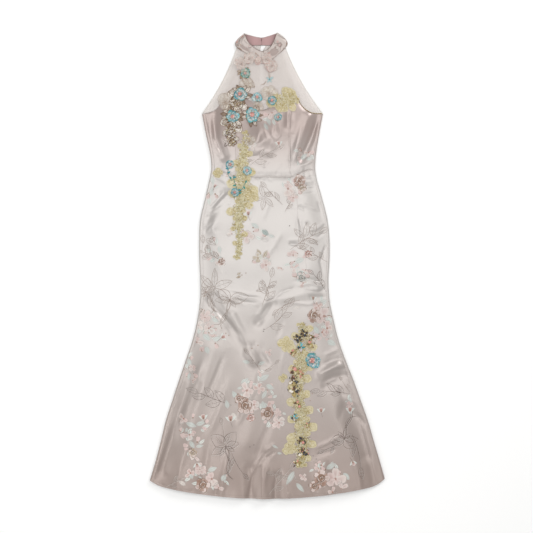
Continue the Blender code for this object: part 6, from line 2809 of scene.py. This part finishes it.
# Lace motifs: node, lobes, slot, ground, fill, rim, speckle, and the spine's x, h and half width.
LACES = (
    ("lace_bust_right", 3, *GOLD_WORK, ((24, 1268, 24), (60, 1284, 38), (99, 1286, 22))),
    (
        *("lace_bust_left", 5, "bronze_lace", Finish.BRONZE_NET, Thread.PEARL, Thread.BRONZE, Thread.LINEN),
        ((-84, 1326, 14), (-90, 1285, 30), (-112, 1228, 34), (-116, 1180, 24), (-108, 1136, 14)),
    ),
    (
        *("lace_cascade_left", 8, *GOLD_WORK),
        (
            *((-66, 1186, 10), (-74, 1120, 22), (-82, 1050, 36), (-78, 985, 40), (-92, 905, 28)),
            *((-88, 830, 18), (-98, 768, 9)),
        ),
    ),
    (
        *("lace_column_skirt", 9, *GOLD_WORK),
        (
            *((113, 570, 16), (118, 505, 36), (108, 420, 34), (100, 345, 28), (112, 262, 36)),
            *((114, 190, 36), (112, 100, 20)),
        ),
    ),
)


@dataclass
class Studio:
    """Floor, lights and the camera straight above the dress."""

    camera_x: float = -0.0024
    camera_y: float = -0.0029
    camera_height: float = 4.065
    lens: float = 85.0
    floor_size: float = 14.0
    floor_gap: float = 0.0006
    floor_colour: Colour = (0.96, 0.96, 0.955)

    def floor(self) -> None:
        """Makes the pale floor just under the dress."""
        half = self.floor_size / 2
        mesh = bpy.data.meshes.new("floor")
        corners = [(x * half, y * half, -self.floor_gap) for x, y in ((-1, -1), (1, -1), (1, 1), (-1, 1))]
        mesh.from_pydata(corners, [], [(0, 1, 2, 3)])
        graph = Graph("studio_floor")
        cloud = graph.noise(graph.place(), 2.0, 2.0)
        shade = graph.mixed(cloud, self.floor_colour, tuple(part * 0.985 for part in self.floor_colour))
        graph.surface({"Base Color": shade, "Roughness": 0.95, "Specular IOR Level": 0.1})
        mesh.materials.append(graph.material)
        made = bpy.data.objects.new("floor", mesh)
        bpy.context.scene.collection.objects.link(made)

    @staticmethod
    def lamp(name: str, place: tuple, size: Point, watts: float, aim: tuple = (0.0, 0.0, 0.0)) -> None:
        """Adds a softbox that faces a point.

        Args:
            name: The lamp's name.
            place: Where it stands, in metres.
            size: Width and length.
            watts: Power.
            aim: The point that it faces.
        """
        data = bpy.data.lights.new(name, "AREA")
        data.shape = "RECTANGLE"
        data.size, data.size_y = size
        data.energy = watts
        made = bpy.data.objects.new(name, data)
        made.location = place
        made.rotation_mode = "QUATERNION"
        made.rotation_quaternion = (Vector(aim) - Vector(place)).to_track_quat("-Z", "Y")
        made.visible_camera = False
        bpy.context.scene.collection.objects.link(made)

    def build(self) -> None:
        """Makes the floor, the lights, the surroundings and the camera."""
        self.floor()
        self.lamp("top_softbox", (-0.2, 0.85, 3.3), (3.5, 2.2), 49.0, (-0.2, 0.85, 0.0))
        self.lamp("left_strip", (-0.62, -1.0, 3.0), (0.22, 1.3), 8.0, (-0.62, -1.0, 0.0))
        self.lamp("right_strip", (0.7, -1.1, 3.0), (0.2, 1.3), 4.5, (0.7, -1.1, 0.0))
        self.lamp("key_softbox", (2.6, 2.8, 2.2), (1.4, 1.4), 58.0)
        self.lamp("left_fill", (-3.4, -1.5, 2.4), (2.2, 2.6), 28.0)
        self.lamp("low_fill", (0.2, -3.0, 2.4), (2.6, 1.4), 8.0, (0.0, -0.9, 0.0))
        world = bpy.data.worlds.new("studio")
        world.use_nodes = True
        back = world.node_tree.nodes["Background"]
        back.inputs["Color"].default_value = (1.0, 0.995, 0.985, 1.0)
        back.inputs["Strength"].default_value = 0.46
        bpy.context.scene.world = world
        data = bpy.data.cameras.new("camera")
        data.lens = self.lens
        data.sensor_width = 36.0
        data.clip_end = 50.0
        made = bpy.data.objects.new("camera", data)
        made.location = (self.camera_x, self.camera_y, self.camera_height)
        bpy.context.scene.collection.objects.link(made)
        bpy.context.scene.camera = made
        bpy.context.scene.view_settings.view_transform = "Standard"


def main() -> None:
    """Builds the dress and its studio, in order."""
    logging.basicConfig(level=logging.INFO, format="%(message)s")
    form = Form()
    Studio().build()
    SatinShell(form).build()
    SheerYoke(form).build()
    StandCollar(form).build()
    PrintedCloth(form).build()
    for row in LACES:
        CordedLace(form, *row).build()
    Trimmings(form).build()
    for row in FLOWERS:
        FabricFlower(form, *row).build()
    Rosebud(form, "collar_rosebud", -28.5, 1410, 10, 4, Palette.PINK).build()
    for row in STONES:
        SewnStone(*row).build()
    Stitching(form).build()


if __name__ == "__main__":
    main()
